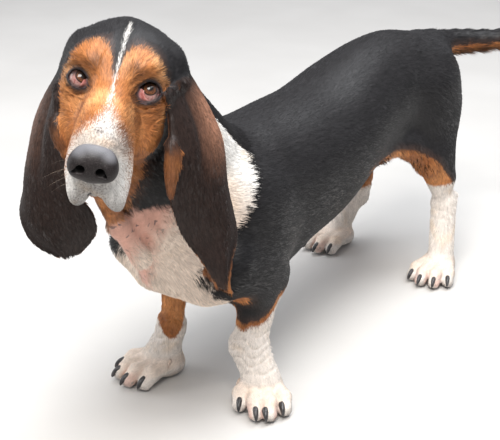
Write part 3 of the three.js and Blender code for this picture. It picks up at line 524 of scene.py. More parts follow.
def face_detail(f, head):
    """Adds the lids, the folds by the eyes and the groove under the nose to the field of the head."""
    for s in (1, -1):
        h, v, w = eye_frame(head, s)
        near = (np.abs(h) < 30) & (np.abs(v) < 30) & (w > -4) & (w < 40)
        h, v, w, g = h[near], v[near], w[near], f[near]
        edge = opening(h, v, s)
        upper = smooth(v, -4, 4)
        g = g + (1.1 * upper + 1.5 * (1 - upper)) * np.exp(-((edge - 7.0 + upper) / 1.7) ** 2)
        g = g + 0.9 * np.exp(-((edge - 13.0) / 2.2) ** 2) * smooth(np.abs(v), 2, 8)
        rim = 1.5 + 0.7 * upper
        height = lid_height(h * 0.97, v * 0.97) - 0.6 + 0.8 * (1 - upper)
        g = smooth_min(g, np.sqrt(edge ** 2 + (w - height) ** 2) - rim, 3.0)
        r2 = h ** 2 + v ** 2
        floor = np.maximum(np.sqrt(np.maximum((EYE_RADIUS - 1.2) ** 2 - r2, 0)), 2.5)
        f[near] = smooth_max(g, -np.maximum(edge, floor - w), 1.0)
    x, y, z = head[..., 0], head[..., 1], head[..., 2]
    lip = (y < -70) & (z < -50) & (np.abs(x) < 20)
    f[lip] += 1.6 * np.exp(-((x[lip] + 1) / 1.6) ** 2) * smooth(z[lip], -52, -60)
    cheek = (y > -60) & (y < 10) & (z < 10)
    stripe = np.abs(x[cheek]) * 0.35 + y[cheek] * 0.85 + z[cheek] * 0.45
    fade = smooth(y[cheek], -60, -35) * smooth(y[cheek], 10, -12) * smooth(np.abs(x[cheek]), 14, 30)
    f[cheek] += 0.9 * ridge(stripe / 17.0 + 0.2 * np.sin(z[cheek] * 0.09)) * fade
    brow = (y > -26) & (y < 30) & (z > 8)
    fade = smooth(np.abs(x[brow]), 3, 9) * smooth(np.abs(x[brow]), 30, 18) * smooth(z[brow], 8, 20)
    f[brow] += 0.8 * ridge((np.abs(x[brow]) + 0.25 * y[brow]) / 11.0) * fade
    return f


def skin_depth(p, head):
    """How deep the skin lies under the coat."""
    depth = np.full(p.shape[:-1], COAT_DEPTH)
    depth -= LESS_ON_FEET * smooth(p[..., 2], 90, 40)
    near_head = smooth(np.linalg.norm(head - (0, 20, -20), axis=-1), 150, 90)
    depth -= LESS_ON_HEAD * near_head
    muzzle = smooth(head[..., 1], -30, -60) * near_head
    return depth - LESS_ON_MUZZLE * muzzle


def head_distance(p):
    """The whole head's distance at any point, without the ears."""
    head = to_head(p)
    upper = face_detail(union(BODY, p), head)
    lower = union(JAW, p)
    k = 2.0 + 12.0 * smooth(head[..., 1], -40, 0)
    return smooth_min(upper, lower, k) + skin_depth(p, head)


def body_distance(p):
    return union(BODY, p) + skin_folds(p) + skin_depth(p, to_head(p))


def gradient(distance, p, e=0.6):
    g = np.empty_like(p)
    for axis in range(3):
        step = np.zeros(3)
        step[axis] = e
        g[:, axis] = (distance(p + step) - distance(p - step)) / (2 * e)
    return g


def settle(distance, p, rounds=2, most=1.2):
    """Moves points onto the surface."""
    for _ in range(rounds):
        g = gradient(distance, p)
        move = -distance(p) / np.maximum((g ** 2).sum(1), 0.2)
        p = p + g * np.clip(move, -most, most)[:, None]
    return p


# The ears are leathers laid through their edges, bellied outwards and rolled at the rim.

def ear_edges(s, u):
    rows = EARS[s]
    t = np.linspace(0, 1, len(rows["front"]))
    return [np.stack([curve(t, np.array(rows[k], float)[:, c], u) for c in range(3)], -1)
            for k in ("front", "back")]


def ear_grid(s):
    """Points of the ear's middle layer, rows from root to tip and columns from front to back."""
    u = np.linspace(0, 1, EAR_ROWS)
    v = np.linspace(0, 1, EAR_COLUMNS)
    front, back = ear_edges(s, u)
    across = back - front
    width = np.linalg.norm(across, axis=1)
    down = np.gradient((front + back) / 2, axis=0)
    normal = unit(np.cross(across, down))
    normal *= np.sign(normal @ ear_side(s))[:, None]
    belly = 0.2 * width * (0.4 + 0.6 * np.sin(math.pi * (u * 0.9 + 0.05)))
    bulge = belly[:, None] * np.sin(math.pi * v)[None, :] ** 0.8
    ripple = np.sin(2 * math.pi * (1.5 * v[None, :] + 0.5 * u[:, None] + 0.1))
    wave = 3.2 * smooth(u, 0.3, 0.9)[:, None] * ripple
    crease = -4.0 * np.exp(-((v[None, :] - 0.30 - 0.1 * u[:, None]) / 0.07) ** 2) * (
        smooth(u, 0.05, 0.2) * smooth(u, 0.62, 0.4))[:, None]
    lifted = normal[:, None] * (bulge + wave + crease)[..., None]
    p = front[:, None] + across[:, None] * v[None, :, None] + lifted
    flat = p.reshape(-1, 3)
    clear = EAR_THICKNESS / 2 + 0.6
    for _ in range(6):
        d = union(BODY, flat)
        near = (d < clear) & (np.repeat(u, EAR_COLUMNS) > 0.12)
        if not near.any():
            break
        g = unit(gradient(lambda q: union(BODY, q), flat[near], 1.0))
        away = g if s < 0 else np.broadcast_to(EAR_PUSH, g.shape)
        steep = np.maximum((g * away).sum(1), 0.35)
        flat[near] += away * ((clear - d[near]) / steep)[:, None]
    return flat.reshape(p.shape)


def round_the_edge(at):
    """The points round the edge of a grid in order, and the one after each."""
    loop = np.concatenate([at[0, :], at[1:, -1], at[-1, -2::-1], at[-2:0:-1, 0]])
    return loop, np.roll(loop, -1)


def closed_sheet(grid, thickness):
    """A closed mesh around a grid of points."""
    rows, columns = grid.shape[:2]
    normal = unit(np.cross(np.gradient(grid, axis=0), np.gradient(grid, axis=1)))
    half = np.full((rows, columns), thickness / 2)
    half[:, 0] *= 0.6
    half[:, -1] *= 0.6
    half[-1] *= 0.6
    points = np.concatenate([(grid + normal * half[..., None]).reshape(-1, 3),
                             (grid - normal * half[..., None]).reshape(-1, 3)])
    at = np.arange(rows * columns).reshape(rows, columns)
    a, b, c, d = (at[:-1, :-1], at[:-1, 1:], at[1:, 1:], at[1:, :-1])
    top = np.stack([a, b, c, d], -1).reshape(-1, 4)
    n = rows * columns
    loop, after = round_the_edge(at)
    side = np.stack([loop, loop + n, after + n, after], -1)
    return points, np.concatenate([top, top[:, ::-1] + n, side])


# Where the front rim of each ear turns over, its greatest width, how far it lifts and how thick it is.
ROLLS = {1: (0.35, 0.57, 7.5), -1: (0.27, 0.44, 6.5)}
ROLL_LIFT, ROLL_THICKNESS = 3.0, 2.2


def rolled_strip(s, grid, first, last, widest):
    """A rim turned back over the outer face of the ear, from one row to another."""
    u = np.linspace(0, 1, EAR_ROWS)
    rows = np.arange(int(first * EAR_ROWS), int(last * EAR_ROWS))
    share = (u[rows] - first) / (last - first)
    width = widest * smooth(share, 0, 0.3) * (1 - share) ** 1.1 + 0.4
    ahead = unit(grid[:, 5] - grid[:, 0])[rows]
    base = grid[rows, 0]
    down = np.gradient(base, axis=0)
    out = unit(np.cross(ahead, down))
    out *= np.sign(out @ ear_side(s))[:, None]
    steps = np.linspace(0, 1, 12)
    angle = np.clip(steps / 0.4, 0, 1) * math.pi
    radius = ROLL_LIFT / 2
    along = np.where(steps < 0.4, 0, (steps - 0.4) / 0.6)
    return (base[:, None] + out[:, None] * (radius * (1 - np.cos(angle)))[None, :, None]
            - ahead[:, None] * (radius * np.sin(angle))[None, :, None]
            + ahead[:, None] * (width[:, None] * along[None, :])[..., None])


def level_set(points, quads, low, shape, step):
    """The distance to a closed mesh on the same grid, near its surface."""
    grid = openvdb.FloatGrid.createLevelSetFromPolygons(
        ((points - low) / step).astype(np.float32), quads=quads.astype(np.uint32), halfWidth=4.0)
    field = np.empty(tuple(shape), np.float32)
    grid.copyToArray(field)
    return field * step


def ear_solids(s):
    grid = ear_grid(s)
    inside = in_head(0, 46, 0)
    root = grid[:1] + (inside - grid[:1]) * 0.22
    whole = np.concatenate([root, grid])
    sheets = [(whole, EAR_THICKNESS, 1.0)]
    first, last, widest = ROLLS[s]
    sheets.append((rolled_strip(s, grid, first, last, widest), ROLL_THICKNESS, -1.0))
    return sheets


# The tip of the left ear, where the leather turns over.
EAR_TIP = [(128, -177, 270), (141, -170, 259), (154, -166, 247)]
TIP_FORMS = [limb(EAR_TIP[0], EAR_TIP[1], 4.5, 6, 3, flat=(EAR_PUSH, 0.5)),
             limb(EAR_TIP[1], EAR_TIP[2], 6, 3, 3, flat=(EAR_PUSH, 0.5))]
ear_sheets = {s: ear_solids(s) for s in (1, -1)}
print("ears laid")


def head_mesh():
    low, step = HEAD_LOW, HEAD_GRID
    f = union_grid(BODY, low, HEAD_HIGH, step).astype(float)
    p = grid_points(low, f.shape, step)
    head = to_head(p)
    f = face_detail(f, head)
    lower = union_grid(JAW, low, HEAD_HIGH, step)
    f = smooth_min(f, lower, 2.0 + 12.0 * smooth(head[..., 1], -40, 0)) + skin_depth(p, head)
    past = (p - CUT_AT) @ CUT_NORMAL
    f = np.maximum(f + DRAW_IN * np.maximum(0, -past), -past - OVERLAP)
    for s in (1, -1):
        for sheet, thickness, _ in ear_sheets[s]:
            points, quads = closed_sheet(sheet, thickness)
            root = np.linalg.norm(p - sheet[0].mean(0), axis=-1)
            ear = level_set(points, quads, low, f.shape, step)
            f = smooth_min(f, ear, 4.0 + 15.0 * smooth(root, 62, 22))
    f = smooth_min(f, union_grid(TIP_FORMS, low, HEAD_HIGH, step), 3.0)
    return surface(f, low, step)


def body_mesh():
    f = union_grid(BODY, BODY_LOW, BODY_HIGH, BODY_GRID).astype(float)
    p = grid_points(BODY_LOW, f.shape, BODY_GRID)
    f += skin_folds(p) + skin_depth(p, to_head(p))
    past = (p - CUT_AT) @ CUT_NORMAL
    f = np.maximum(f + DRAW_IN * np.maximum(0, past), past - OVERLAP)
    f = np.maximum(f, SOLE - p[..., 2])
    return surface(f, BODY_LOW, BODY_GRID)


def refined(points, quads, wanted):
    """Splits each wanted quad into four, and the faces beside them to fit."""
    mesh = bpy.data.meshes.new("work")
    mesh.from_pydata(points.tolist(), [], quads.tolist())
    work = bmesh.new()
    work.from_mesh(mesh)
    work.faces.ensure_lookup_table()
    edges = {e for i in np.nonzero(wanted)[0] for e in work.faces[int(i)].edges}
    bmesh.ops.subdivide_edges(work, edges=list(edges), cuts=1, use_grid_fill=True)
    bmesh.ops.triangulate(work, faces=[q for q in work.faces if len(q.verts) > 4])
    work.to_mesh(mesh)
    work.free()
    count = len(mesh.vertices)
    co = np.empty(count * 3)
    mesh.vertices.foreach_get("co", co)
    faces = [tuple(q.vertices) for q in mesh.polygons]
    bpy.data.meshes.remove(mesh)
    return co.reshape(-1, 3), faces


points, quads = body_mesh()
centre = points[quads].mean(1)
co_body, faces_body = refined(points, quads, centre[:, 2] < 118)
low_part = co_body[:, 2] < 122
moved = settle(body_distance, co_body[low_part])
moved[:, 2] = np.maximum(moved[:, 2], SOLE)
co_body[low_part] = moved
print("body skin", len(co_body), len(faces_body))

points, quads = head_mesh()
centre = to_head(points[quads].mean(1))
face_front = (centre[:, 1] < 26) & (centre[:, 2] > -110) & (centre[:, 2] < 40) & (np.abs(centre[:, 0]) < 56)
face_front &= (centre[:, 1] < -60) | (np.abs(centre[:, 2]) < 34)
co_head, faces_head = refined(points, quads, face_front)
local = to_head(co_head)
near_front = (local[:, 1] < 30) & (local[:, 2] > -116) & (local[:, 2] < 60) & (np.abs(local[:, 0]) < 58)
far = np.abs(head_distance(co_head[near_front]))
target = np.nonzero(near_front)[0][far < 1.6]
co_head[target] = settle(head_distance, co_head[target], most=0.8)
print("head skin", len(co_head), len(faces_head))

co = np.concatenate([co_body, co_head])
faces = faces_body + [tuple(i + len(co_body) for i in q) for q in faces_head]


# Where things are: the hound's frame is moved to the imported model's by its left eye.
low_corner, high_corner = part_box("eye_left")
eye_centre = np.array((low_corner + high_corner) / 2) / MM
SHIFT = eye_centre - in_head(*EYE_AT)


def in_scene(p):
    return (np.asarray(p, float) + SHIFT) * MM


def mesh_object(name, points, faces, material, attributes=None):
    """A mesh in the scene, given in the hound's frame, that rides on the body."""
    mesh = bpy.data.meshes.new(name)
    points = in_scene(points)
    if isinstance(faces, np.ndarray):
        mesh.vertices.add(len(points))
        mesh.vertices.foreach_set("co", points.astype(np.float32).ravel())
        sides = faces.shape[1]
        mesh.loops.add(faces.size)
        mesh.loops.foreach_set("vertex_index", faces.astype(np.int32).ravel())
        mesh.polygons.add(len(faces))
        mesh.polygons.foreach_set("loop_start", np.arange(0, faces.size, sides, dtype=np.int32))
        mesh.update(calc_edges=True)
    else:
        mesh.from_pydata(points.tolist(), [], faces)
    mesh.shade_smooth()
    for key, value in (attributes or {}).items():
        kind = "FLOAT" if value.ndim == 1 else "FLOAT_VECTOR"
        layer = mesh.attributes.new(key, kind, "POINT")
        layer.data.foreach_set("value" if kind == "FLOAT" else "vector", value.astype(np.float32).ravel())
    mesh.materials.append(material)
    piece = bpy.data.objects.new(name, mesh)
    bpy.context.scene.collection.objects.link(piece)
    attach(piece, "root")
    return piece


# Materials

class Paint:
    """Builds one procedural material around a Principled shader."""

    def __init__(self, name, **sockets):
        self.material = bpy.data.materials.new(name)
        self.material.use_nodes = True
        self.tree = self.material.node_tree
        self.shader = self.tree.nodes["Principled BSDF"]
        for key, value in sockets.items():
            self.shader.inputs[key.replace("_", " ")].default_value = value

    def put(self, socket, value):
        if isinstance(value, bpy.types.NodeSocket):
            self.tree.links.new(value, socket)
        elif isinstance(value, tuple) and len(value) == 3 and socket.type == "RGBA":
            socket.default_value = (*value, 1)
        else:
            socket.default_value = value

    def maths(self, operation, a, b=0.0, clamp=False):
        node = self.tree.nodes.new("ShaderNodeMath")
        node.operation = operation
        node.use_clamp = clamp
        self.put(node.inputs[0], a)
        self.put(node.inputs[1], b)
        return node.outputs[0]

    def times(self, a, b):
        return self.maths("MULTIPLY", a, b)

    def plus(self, a, b):
        return self.maths("ADD", a, b)

    def step(self, value, low, high):
        """0 below low, 1 above high and smooth between."""
        node = self.tree.nodes.new("ShaderNodeMapRange")
        node.interpolation_type = "SMOOTHSTEP"
        for i, v in enumerate((value, low, high, 0.0, 1.0)):
            self.put(node.inputs[i], v)
        return node.outputs[0]

    def mix(self, share, a, b, blend="MIX"):
        node = self.tree.nodes.new("ShaderNodeMix")
        node.data_type = "RGBA"
        node.blend_type = blend
        node.clamp_factor = True
        self.put(node.inputs[0], share)
        self.put(node.inputs[6], a)
        self.put(node.inputs[7], b)
        return node.outputs[2]

    def attribute(self, name, part="Fac"):
        node = self.tree.nodes.new("ShaderNodeAttribute")
        node.attribute_name = name
        return node.outputs[part]

    def parts(self, vector):
        node = self.tree.nodes.new("ShaderNodeSeparateXYZ")
        self.put(node.inputs[0], vector)
        return node.outputs

    def place(self, stretch=(1, 1, 1)):
        coordinates = self.tree.nodes.new("ShaderNodeTexCoord")
        node = self.tree.nodes.new("ShaderNodeMapping")
        node.inputs["Scale"].default_value = stretch
        self.tree.links.new(coordinates.outputs["Object"], node.inputs[0])
        return node.outputs[0]

    def noise(self, vector, scale, detail=2.0, roughness=0.5):
        node = self.tree.nodes.new("ShaderNodeTexNoise")
        self.put(node.inputs["Vector"], vector)
        node.inputs["Scale"].default_value = scale
        node.inputs["Detail"].default_value = detail
        node.inputs["Roughness"].default_value = roughness
        return node.outputs[0]

    def cells(self, vector, scale, feature="F1"):
        node = self.tree.nodes.new("ShaderNodeTexVoronoi")
        node.feature = feature
        self.put(node.inputs["Vector"], vector)
        node.inputs["Scale"].default_value = scale
        return node.outputs["Distance"]

    def mottle(self, place, scale, detail, low, high, a, b):
        """One colour spotted with another."""
        return self.mix(self.step(self.noise(place, scale, detail), low, high), a, b)

    def strands(self, lie, slim, scale):
        """Noise drawn out along the hair, by how far the hair lies along each axis."""
        found = []
        for axis in range(3):
            stretch = [1, 1, 1]
            stretch[axis] = slim
            found.append(self.times(self.noise(self.place(stretch), scale, 2), lie[axis]))
        return self.plus(self.plus(found[0], found[1]), found[2])

    def bump(self, height, strength, distance):
        node = self.tree.nodes.new("ShaderNodeBump")
        node.inputs["Strength"].default_value = strength
        node.inputs["Distance"].default_value = distance
        self.put(node.inputs["Height"], height)
        self.tree.links.new(node.outputs[0], self.shader.inputs["Normal"])

    def finish(self, colour, roughness):
        self.put(self.shader.inputs["Base Color"], colour)
        self.put(self.shader.inputs["Roughness"], roughness)
        return self.material


# The middle colour on the next line serves the coat's own brownish fringe by the tan and also the painted
# sheen on the ears.
BLACK, BROWN_AND_SHEEN, SHADE = (0.0075, 0.0066, 0.0070), (0.230, 0.110, 0.068), (0.035, 0.020, 0.016)
# Painted light: a lighter black for where the coat is lit.
LIT_BLACK = (0.019, 0.018, 0.019)
TAN, DARK_TAN, LIGHT_TAN = (0.50, 0.195, 0.062), (0.27, 0.094, 0.030), (0.74, 0.42, 0.20)
WHITE, CREAM, WARM = (0.70, 0.68, 0.65), (0.70, 0.62, 0.53), (0.80, 0.60, 0.45)
PINK, DARK_PINK = (0.60, 0.33, 0.255), (0.20, 0.12, 0.11)
RIM, GREY = (0.018, 0.014, 0.016), (0.115, 0.092, 0.085)


def coat_material(name, tuft):
    """The coat: black, tan and white by the distances to their edges, with the lie of the hair."""
    paint = Paint(name, Sheen_Weight=0.02, Sheen_Roughness=0.45, Specular_IOR_Level=0.20)
    here = paint.place()
    marks, more, fine, soft, lie = (
        paint.parts(paint.attribute(key, "Vector")) for key in ("marks", "more", "fine", "soft", "lie"))
    times, plus = paint.times, paint.plus
    wander = times(plus(paint.noise(here, 70, 2), -0.5), 9.0)
    fray = times(plus(paint.noise(here, 520, 1), -0.5), 3.5)
    shift = times(plus(wander, fray), fine[2])
    strewn = paint.attribute("tint") if tuft else paint.noise(here, 1500, 1)
    shift = plus(shift, times(plus(strewn, -0.5), times(soft[0], 1.0 if tuft else 2.2)))
    blotch = paint.noise(here, 26, 3)
    feather = plus(times(soft[0], 0.32), 0.8)
    to_white = paint.step(plus(marks[0], shift), times(feather, -1.0), feather)
    to_tan = paint.step(plus(marks[1], shift), -2.0, 2.0)
    near_tan = paint.step(plus(marks[1], shift), -14.0, 0.0)
    # The coat's own brownish fringe by the tan, with a painted sheen on the ears.
    brown_and_sheen = paint.maths("MAXIMUM", more[1], times(near_tan, 0.14))
    # Painted light: a lighter black where the coat is lit.
    black = paint.mix(brown_and_sheen, paint.mix(soft[1], BLACK, LIT_BLACK), BROWN_AND_SHEEN)
    tan = paint.mix(paint.step(blotch, 0.35, 0.68), DARK_TAN, TAN)
    tan = paint.mix(times(more[2], 0.55), tan, TAN)
    tan = paint.mix(times(paint.step(blotch, 0.4, 0.75), more[2]), tan, LIGHT_TAN)
    tan = paint.mix(fine[1], tan, SHADE)
    white = paint.mottle(here, 34, 2, 0.52, 0.75, WHITE, CREAM)
    colour = paint.mix(to_tan, black, tan)
    white = paint.mix(soft[1], white, WARM)
    mottled = plus(times(paint.step(paint.noise(here, 480, 2), 0.32, 0.68), 0.65), 0.35)
    # Greyed white: the face's own grey marks, with painted shade on the lips, under the nose and on the
    # snout's top.
    white = paint.mix(times(soft[2], mottled), white, GREY)
    colour = paint.mix(to_white, colour, white)
    least = plus(0.74, times(fine[0], -0.24))
    flecks = times(paint.step(paint.noise(here, 430, 1), least, 0.80), paint.step(fine[0], 0.02, 0.2))
    colour = paint.mix(flecks, colour, GREY)
    bare = paint.mottle(here, 110, 2, 0.62, 0.68, PINK, DARK_PINK)
    colour = paint.mix(marks[2], colour, bare)
    colour = paint.mix(more[0], colour, RIM)
    if tuft:
        tip = paint.parts(paint.attribute("hair", "Vector"))[0]
        tone = times(plus(times(paint.attribute("tint"), 0.8), 0.58), plus(times(tip, 0.34), 0.86))
    else:
        tone = plus(times(paint.noise(here, 900, 1), 0.4), 0.72)
    tone = times(tone, plus(times(paint.strands(lie, 0.15, 260), 0.9), 0.55))
    calm = plus(1.0, times(to_white, -0.35))
    tone = plus(times(plus(tone, -1.0), calm), 1.0)
    shade = paint.tree.nodes.new("ShaderNodeCombineXYZ")
    for i in range(3):
        paint.put(shade.inputs[i], tone)
    colour = paint.mix(1.0, colour, shade.outputs[0], "MULTIPLY")
    if not tuft:
        paint.bump(paint.strands(lie, 0.12, 1100), 0.5, 0.0007)
    return paint.finish(colour, plus(times(to_white, 0.16), 0.40))


skin_coat = coat_material("skin_coat", False)
tuft_coat = coat_material("tuft_coat", True)

# Facts at each point of the skin: its normal, part, lie of the hair and markings.


def vertex_normals(points, faces):
    normal = np.zeros_like(points)
    for sides in (3, 4):
        group = np.array([q for q in faces if len(q) == sides], np.int64)
        if not len(group):
            continue
        a, b, c = points[group[:, 0]], points[group[:, 1]], points[group[:, 2]]
        cross = np.cross(b - a, c - a)
        if sides == 4:
            cross = np.cross(c - a, points[group[:, 3]] - b)
        for i in range(sides):
            np.add.at(normal, group[:, i], cross)
    return unit(normal)


normal = vertex_normals(co, faces)
if (normal[:, 2] * (co[:, 2] - 240)).mean() < 0:
    faces = [q[::-1] for q in faces]
    normal = -normal

PARTS = ["trunk", "fore_left", "fore_right", "hind_left", "hind_right", "tail", "neck", "head", "ear_left",
         "ear_right"]
groups = [TRUNK, *(leg(*which) + paw(*which) for which in LIMBS), tail(), NECK, SKULL + JAW]
reach = np.stack([union(g, co) for g in groups], -1)
weight = np.exp(-(reach - reach.min(1, keepdims=True)) / 10.0)
weight /= weight.sum(1, keepdims=True)
part = reach.argmin(1)

ear_facts = []
for s in (1, -1):
    for sheet, _, facing in ear_sheets[s]:
        n = unit(np.cross(np.gradient(sheet, axis=0), np.gradient(sheet, axis=1)))
        n *= np.sign((n @ ear_side(s)).mean())
        rows, columns = sheet.shape[:2]
        uv = np.stack(np.meshgrid(np.linspace(0, 1, rows), np.linspace(0, 1, columns), indexing="ij"), -1)
        whole = sheet.shape[1] == EAR_COLUMNS
        ear_facts.append((sheet.reshape(-1, 3), (n * facing).reshape(-1, 3), uv.reshape(-1, 2),
                          unit(np.gradient(sheet, axis=0)).reshape(-1, 3),
                          np.full(rows * columns, 8 if s > 0 else 9), np.full(rows * columns, whole)))
ear_points, ear_normals, ear_uv, ear_down, ear_part, ear_main = (np.concatenate(a) for a in zip(*ear_facts))
tree = KDTree(len(ear_points))
for i, p in enumerate(ear_points):
    tree.insert(p, i)
tree.balance()
body_count = len(co_body)
near_ear = np.zeros(len(co), bool)
ear_index = np.zeros(len(co), int)
head_only = np.zeros(len(co)) + 99.0
head_only[body_count:] = union(SKULL + NECK, co[body_count:])
on_tip = np.zeros(len(co), bool)
on_tip[body_count:] = union(TIP_FORMS, co[body_count:]) < 2.0
for i in range(body_count, len(co)):
    if head_only[i] > CLEAR_OF_HEAD:
        _, index, far = tree.find(co[i])
        if far < NEAR_EAR or on_tip[i]:
            near_ear[i] = True
            ear_index[i] = index
part[near_ear] = ear_part[ear_index[near_ear]]
print("ear points", near_ear.sum())

head = to_head(co)
X, Y, Z = co[:, 0], co[:, 1], co[:, 2]
hx, hy, hz = head[:, 0], head[:, 1], head[:, 2]
# The height on the face, which slopes back from the nose.
hv = hy * math.sin(FACE_TILT) + hz * math.cos(FACE_TILT)


def on(*names):
    """Which points of the skin are on the named parts."""
    return np.isin(part, [PARTS.index(name) for name in names])


on_leg = on("fore_left", "fore_right", "hind_left", "hind_right")
on_head = on("head")


def lie_of_hair():
    n = len(co)
    flows = np.zeros((n, 8, 3))
    flows[:, 0] = (0, 1, -0.28)
    for g, (side, fore) in enumerate(LIMBS, 1):
        turn, _, _ = paw_place(side, fore)
        forward = turn @ np.array([0, -1.0, -0.45])
        down = np.array([0, 0.15, -1.0]) if fore else np.array([0, 0.35, -1.0])
        on_paw = smooth(Z, 48, 30)[:, None]
        flows[:, g] = down * (1 - on_paw) + forward * on_paw
    line = tail_line(25)
    on_tail = on("tail")
    tail_points = co[on_tail]
    nearest = ((tail_points[:, None, :] - line[None, :, :3]) ** 2).sum(-1).argmin(1)
    along = unit(np.gradient(line[:, :3], axis=0))
    at_tail, at_neck, at_head = (PARTS.index(name) for name in ("tail", "neck", "head"))
    flows[:, at_tail] = (0, 1, 0)
    flows[on_tail, at_tail] = along[nearest]
    flows[:, at_neck] = unit(np.array([0, 0, 300.0]) - in_head(0, 70, -6))
    low = smooth(hz, -22, -52)[:, None]
    side = np.sign(hx)[:, None] * smooth(np.abs(hx), 4, 30)[:, None]
    up = np.concatenate([side * 0.35, np.ones((n, 1)), np.full((n, 1), 0.25)], 1)
    hang = np.concatenate([side * 0.1, np.full((n, 1), 0.6), np.full((n, 1), -0.8)], 1)
    flows[:, at_head] = (up * (1 - low) + hang * low) @ HEAD_TURN.T
    flow = (unit(flows) * weight[..., None]).sum(1)
    flow[near_ear] = ear_down[ear_index[near_ear]]
    flow -= (flow * normal).sum(1, keepdims=True) * normal
    return unit(flow)


lie = lie_of_hair()


def line_distance(p, line):
    """The distance of flat points to a broken line."""
    line = np.array(line, float)
    near = np.full(len(p), 1e9)
    for start, end in zip(line[:-1], line[1:]):
        along = end - start
        t = np.clip(((p - start) @ along) / (along @ along), 0, 1)
        near = np.minimum(near, np.linalg.norm(p - start - t[:, None] * along, axis=1))
    return near


def inside_ball(p, middle, radius):
    return radius - np.linalg.norm(p - middle, axis=1)


# The middle of the tan stripe from the flank down to the hock: back and up.
HIND_ARCH = [(270, 236), (350, 228), (399, 214), (419, 204), (436, 191), (453, 176), (480, 148)]
# The neck's middle line starts here, and the nape lies to this side of it.
NECK_ROOT, NAPE_WAY = np.array([0, 0, 300.0]), np.array([0, 0.8, 0.6])
# What a marking's distance inwards is where a point is nowhere near it, and the most that is kept.
OUTSIDE, MOST_INSIDE = -40.0, 30


def face_spot(x, v, wide, tall):
    """A soft spot on the face."""
    return np.exp(-(((hx - x) / wide) ** 2 + ((hv - v) / tall) ** 2)) * on_head


def face_marks():
    """The blaze, the tan of the brows and cheeks, and the band over the nose."""
    half = np.interp(hv, [-130, -100, -80, -63, -50, -40, -31, -25, -22, -9, 4, 17, 28, 57, 64, 70],
                     [36, 33, 30.5, 26, 16, 7.5, 2.8, 1.4, 1.0, 0.7, 0.6, 0.6, 1.0, 1.2, 0.7, -6])
    middle = np.interp(hv, [-80, -63, -50, -40, -31, -22, 0, 57], [2, 1, 3, 3.7, 4, 2, 1.5, 3])
    white = half - np.abs(hx - middle) - 0.5 * np.maximum(0, hy + 50) * (hz < -30)
    white[(hy > 60) | ~on_head] = OUTSIDE
    band = np.exp(-((hv + 62) / 5.0) ** 2) * np.exp(-((hx - 7) / 15.0) ** 2) * (hy < -70)
    top = np.interp(np.abs(hx), [0, 3, 7, 11, 17, 24, 30, 34, 42, 49, 53, 60],
                    [4, 11, 26, 35, 39, 41, 38.5, 35, 27.5, 16.5, 5, -14])
    behind = np.interp(hz, [-120, -80, -50, -25, 0, 20, 40], [34, 30, 26, 12, 5, 2, 14])
    tan = np.minimum((top - hv) * 0.75, (behind - hy) * 0.9)
    tan[(hy > 90) | ~on("head", "neck")] = OUTSIDE
    return white, tan, band


def throat_patch():
    """The tan under the jaw."""
    inside = np.minimum(inside_ball(head, (2, -4, -118), 60), 27 - np.abs(hx - 4))
    inside = np.minimum(inside, (-hz - 78) * 0.8)
    inside[near_ear] = OUTSIDE
    return inside


def leg_marks():
    """How far each point of a leg lies inside the white and inside the tan."""
    white, tan = np.full((2, len(co)), OUTSIDE)
    across_left = 0.818 * (X - 57) + 0.575 * (Y - 6)
    across_right = 0.818 * (X + 62) + 0.575 * (Y + 4)
    edge_left = np.interp(across_left, [-30, -9, 0, 12, 24, 30, 38], [112, 102, 108, 110, 118, 126, 146])
    edge_right = 64 + 0.078 * across_right ** 2 + 6 * np.maximum(0, across_right - 15.5)
    edge_right = np.minimum(edge_right, 122)
    edge = np.select([on(name) for name in PARTS[1:5]], [edge_left, edge_right, 154.0, 106.0], OUTSIDE)
    white[on_leg] = (edge - Z)[on_leg]
    rim_left = edge_left + 6 + 0.35 * np.maximum(0, -across_left - 4) + 0.1 * np.maximum(0, across_left - 10)
    here = on("fore_left") & (Z < 176)
    tan[here] = np.maximum(rim_left - Z, 43 - X)[here]
    here = on("fore_right")
    tan[here] = np.minimum(150 - Z + 0.6 * (X + 80), 40)[here]
    return white, tan


face_white, face_tan, nose_band = face_marks()
leg_white, leg_tan = leg_marks()
throat = throat_patch()


def collar_marks():
    """The white of the chest and the neck, which rings the neck but for the nape."""
    edge = np.where(
        X > 0,
        np.interp(Z, [120, 137, 160, 185, 207, 223, 240, 263, 276, 293, 313, 328, 342, 362, 390, 418, 440],
                  [0, -12, -46, -84, -97, -97, -84, -64, -51, -35, -19, -9, -1, -9, -40, -78, -110]),
        np.interp(Z, [120, 150, 180, 200, 217, 226, 260, 300, 340, 390, 418, 440],
                  [-5, -30, -60, -85, -97, -98, -100, -80, -50, -75, -98, -125]))
    inside = (edge - Y) * 0.8
    front = (Y - (edge - 80)) * 0.8
    inside = np.where(Z > 316, np.minimum(inside, np.maximum(front, (324 - Z))), inside)
    inside[(Z > 318) & (Y < -140) & (X > 30) & on("neck")] = OUTSIDE
    crest = in_head(0, 70, -6) - NECK_ROOT
    off = co - NECK_ROOT
    off = off - np.outer(off @ crest / (crest @ crest), crest)
    inside -= 90 * smooth(Z, 330, 360) * smooth(unit(off) @ NAPE_WAY, 0.52, 0.74)
    inside[(on_leg & (Z < 160)) | on("head", "tail") | near_ear] = OUTSIDE
    return inside


def white_areas():
    """How far each point lies inside the white."""
    belly = np.minimum((-normal[:, 2] - 0.7) * 40, 36 - np.abs(X))
    belly[~on("trunk") | (Y > 400) | (Y < -10)] = OUTSIDE
    tail_end = np.where(on("tail"), inside_ball(co, TAIL[-1, :3], 62), OUTSIDE)
    white = greatest(face_white, collar_marks(), leg_white, belly, tail_end)
    white[near_ear] = OUTSIDE
    return white


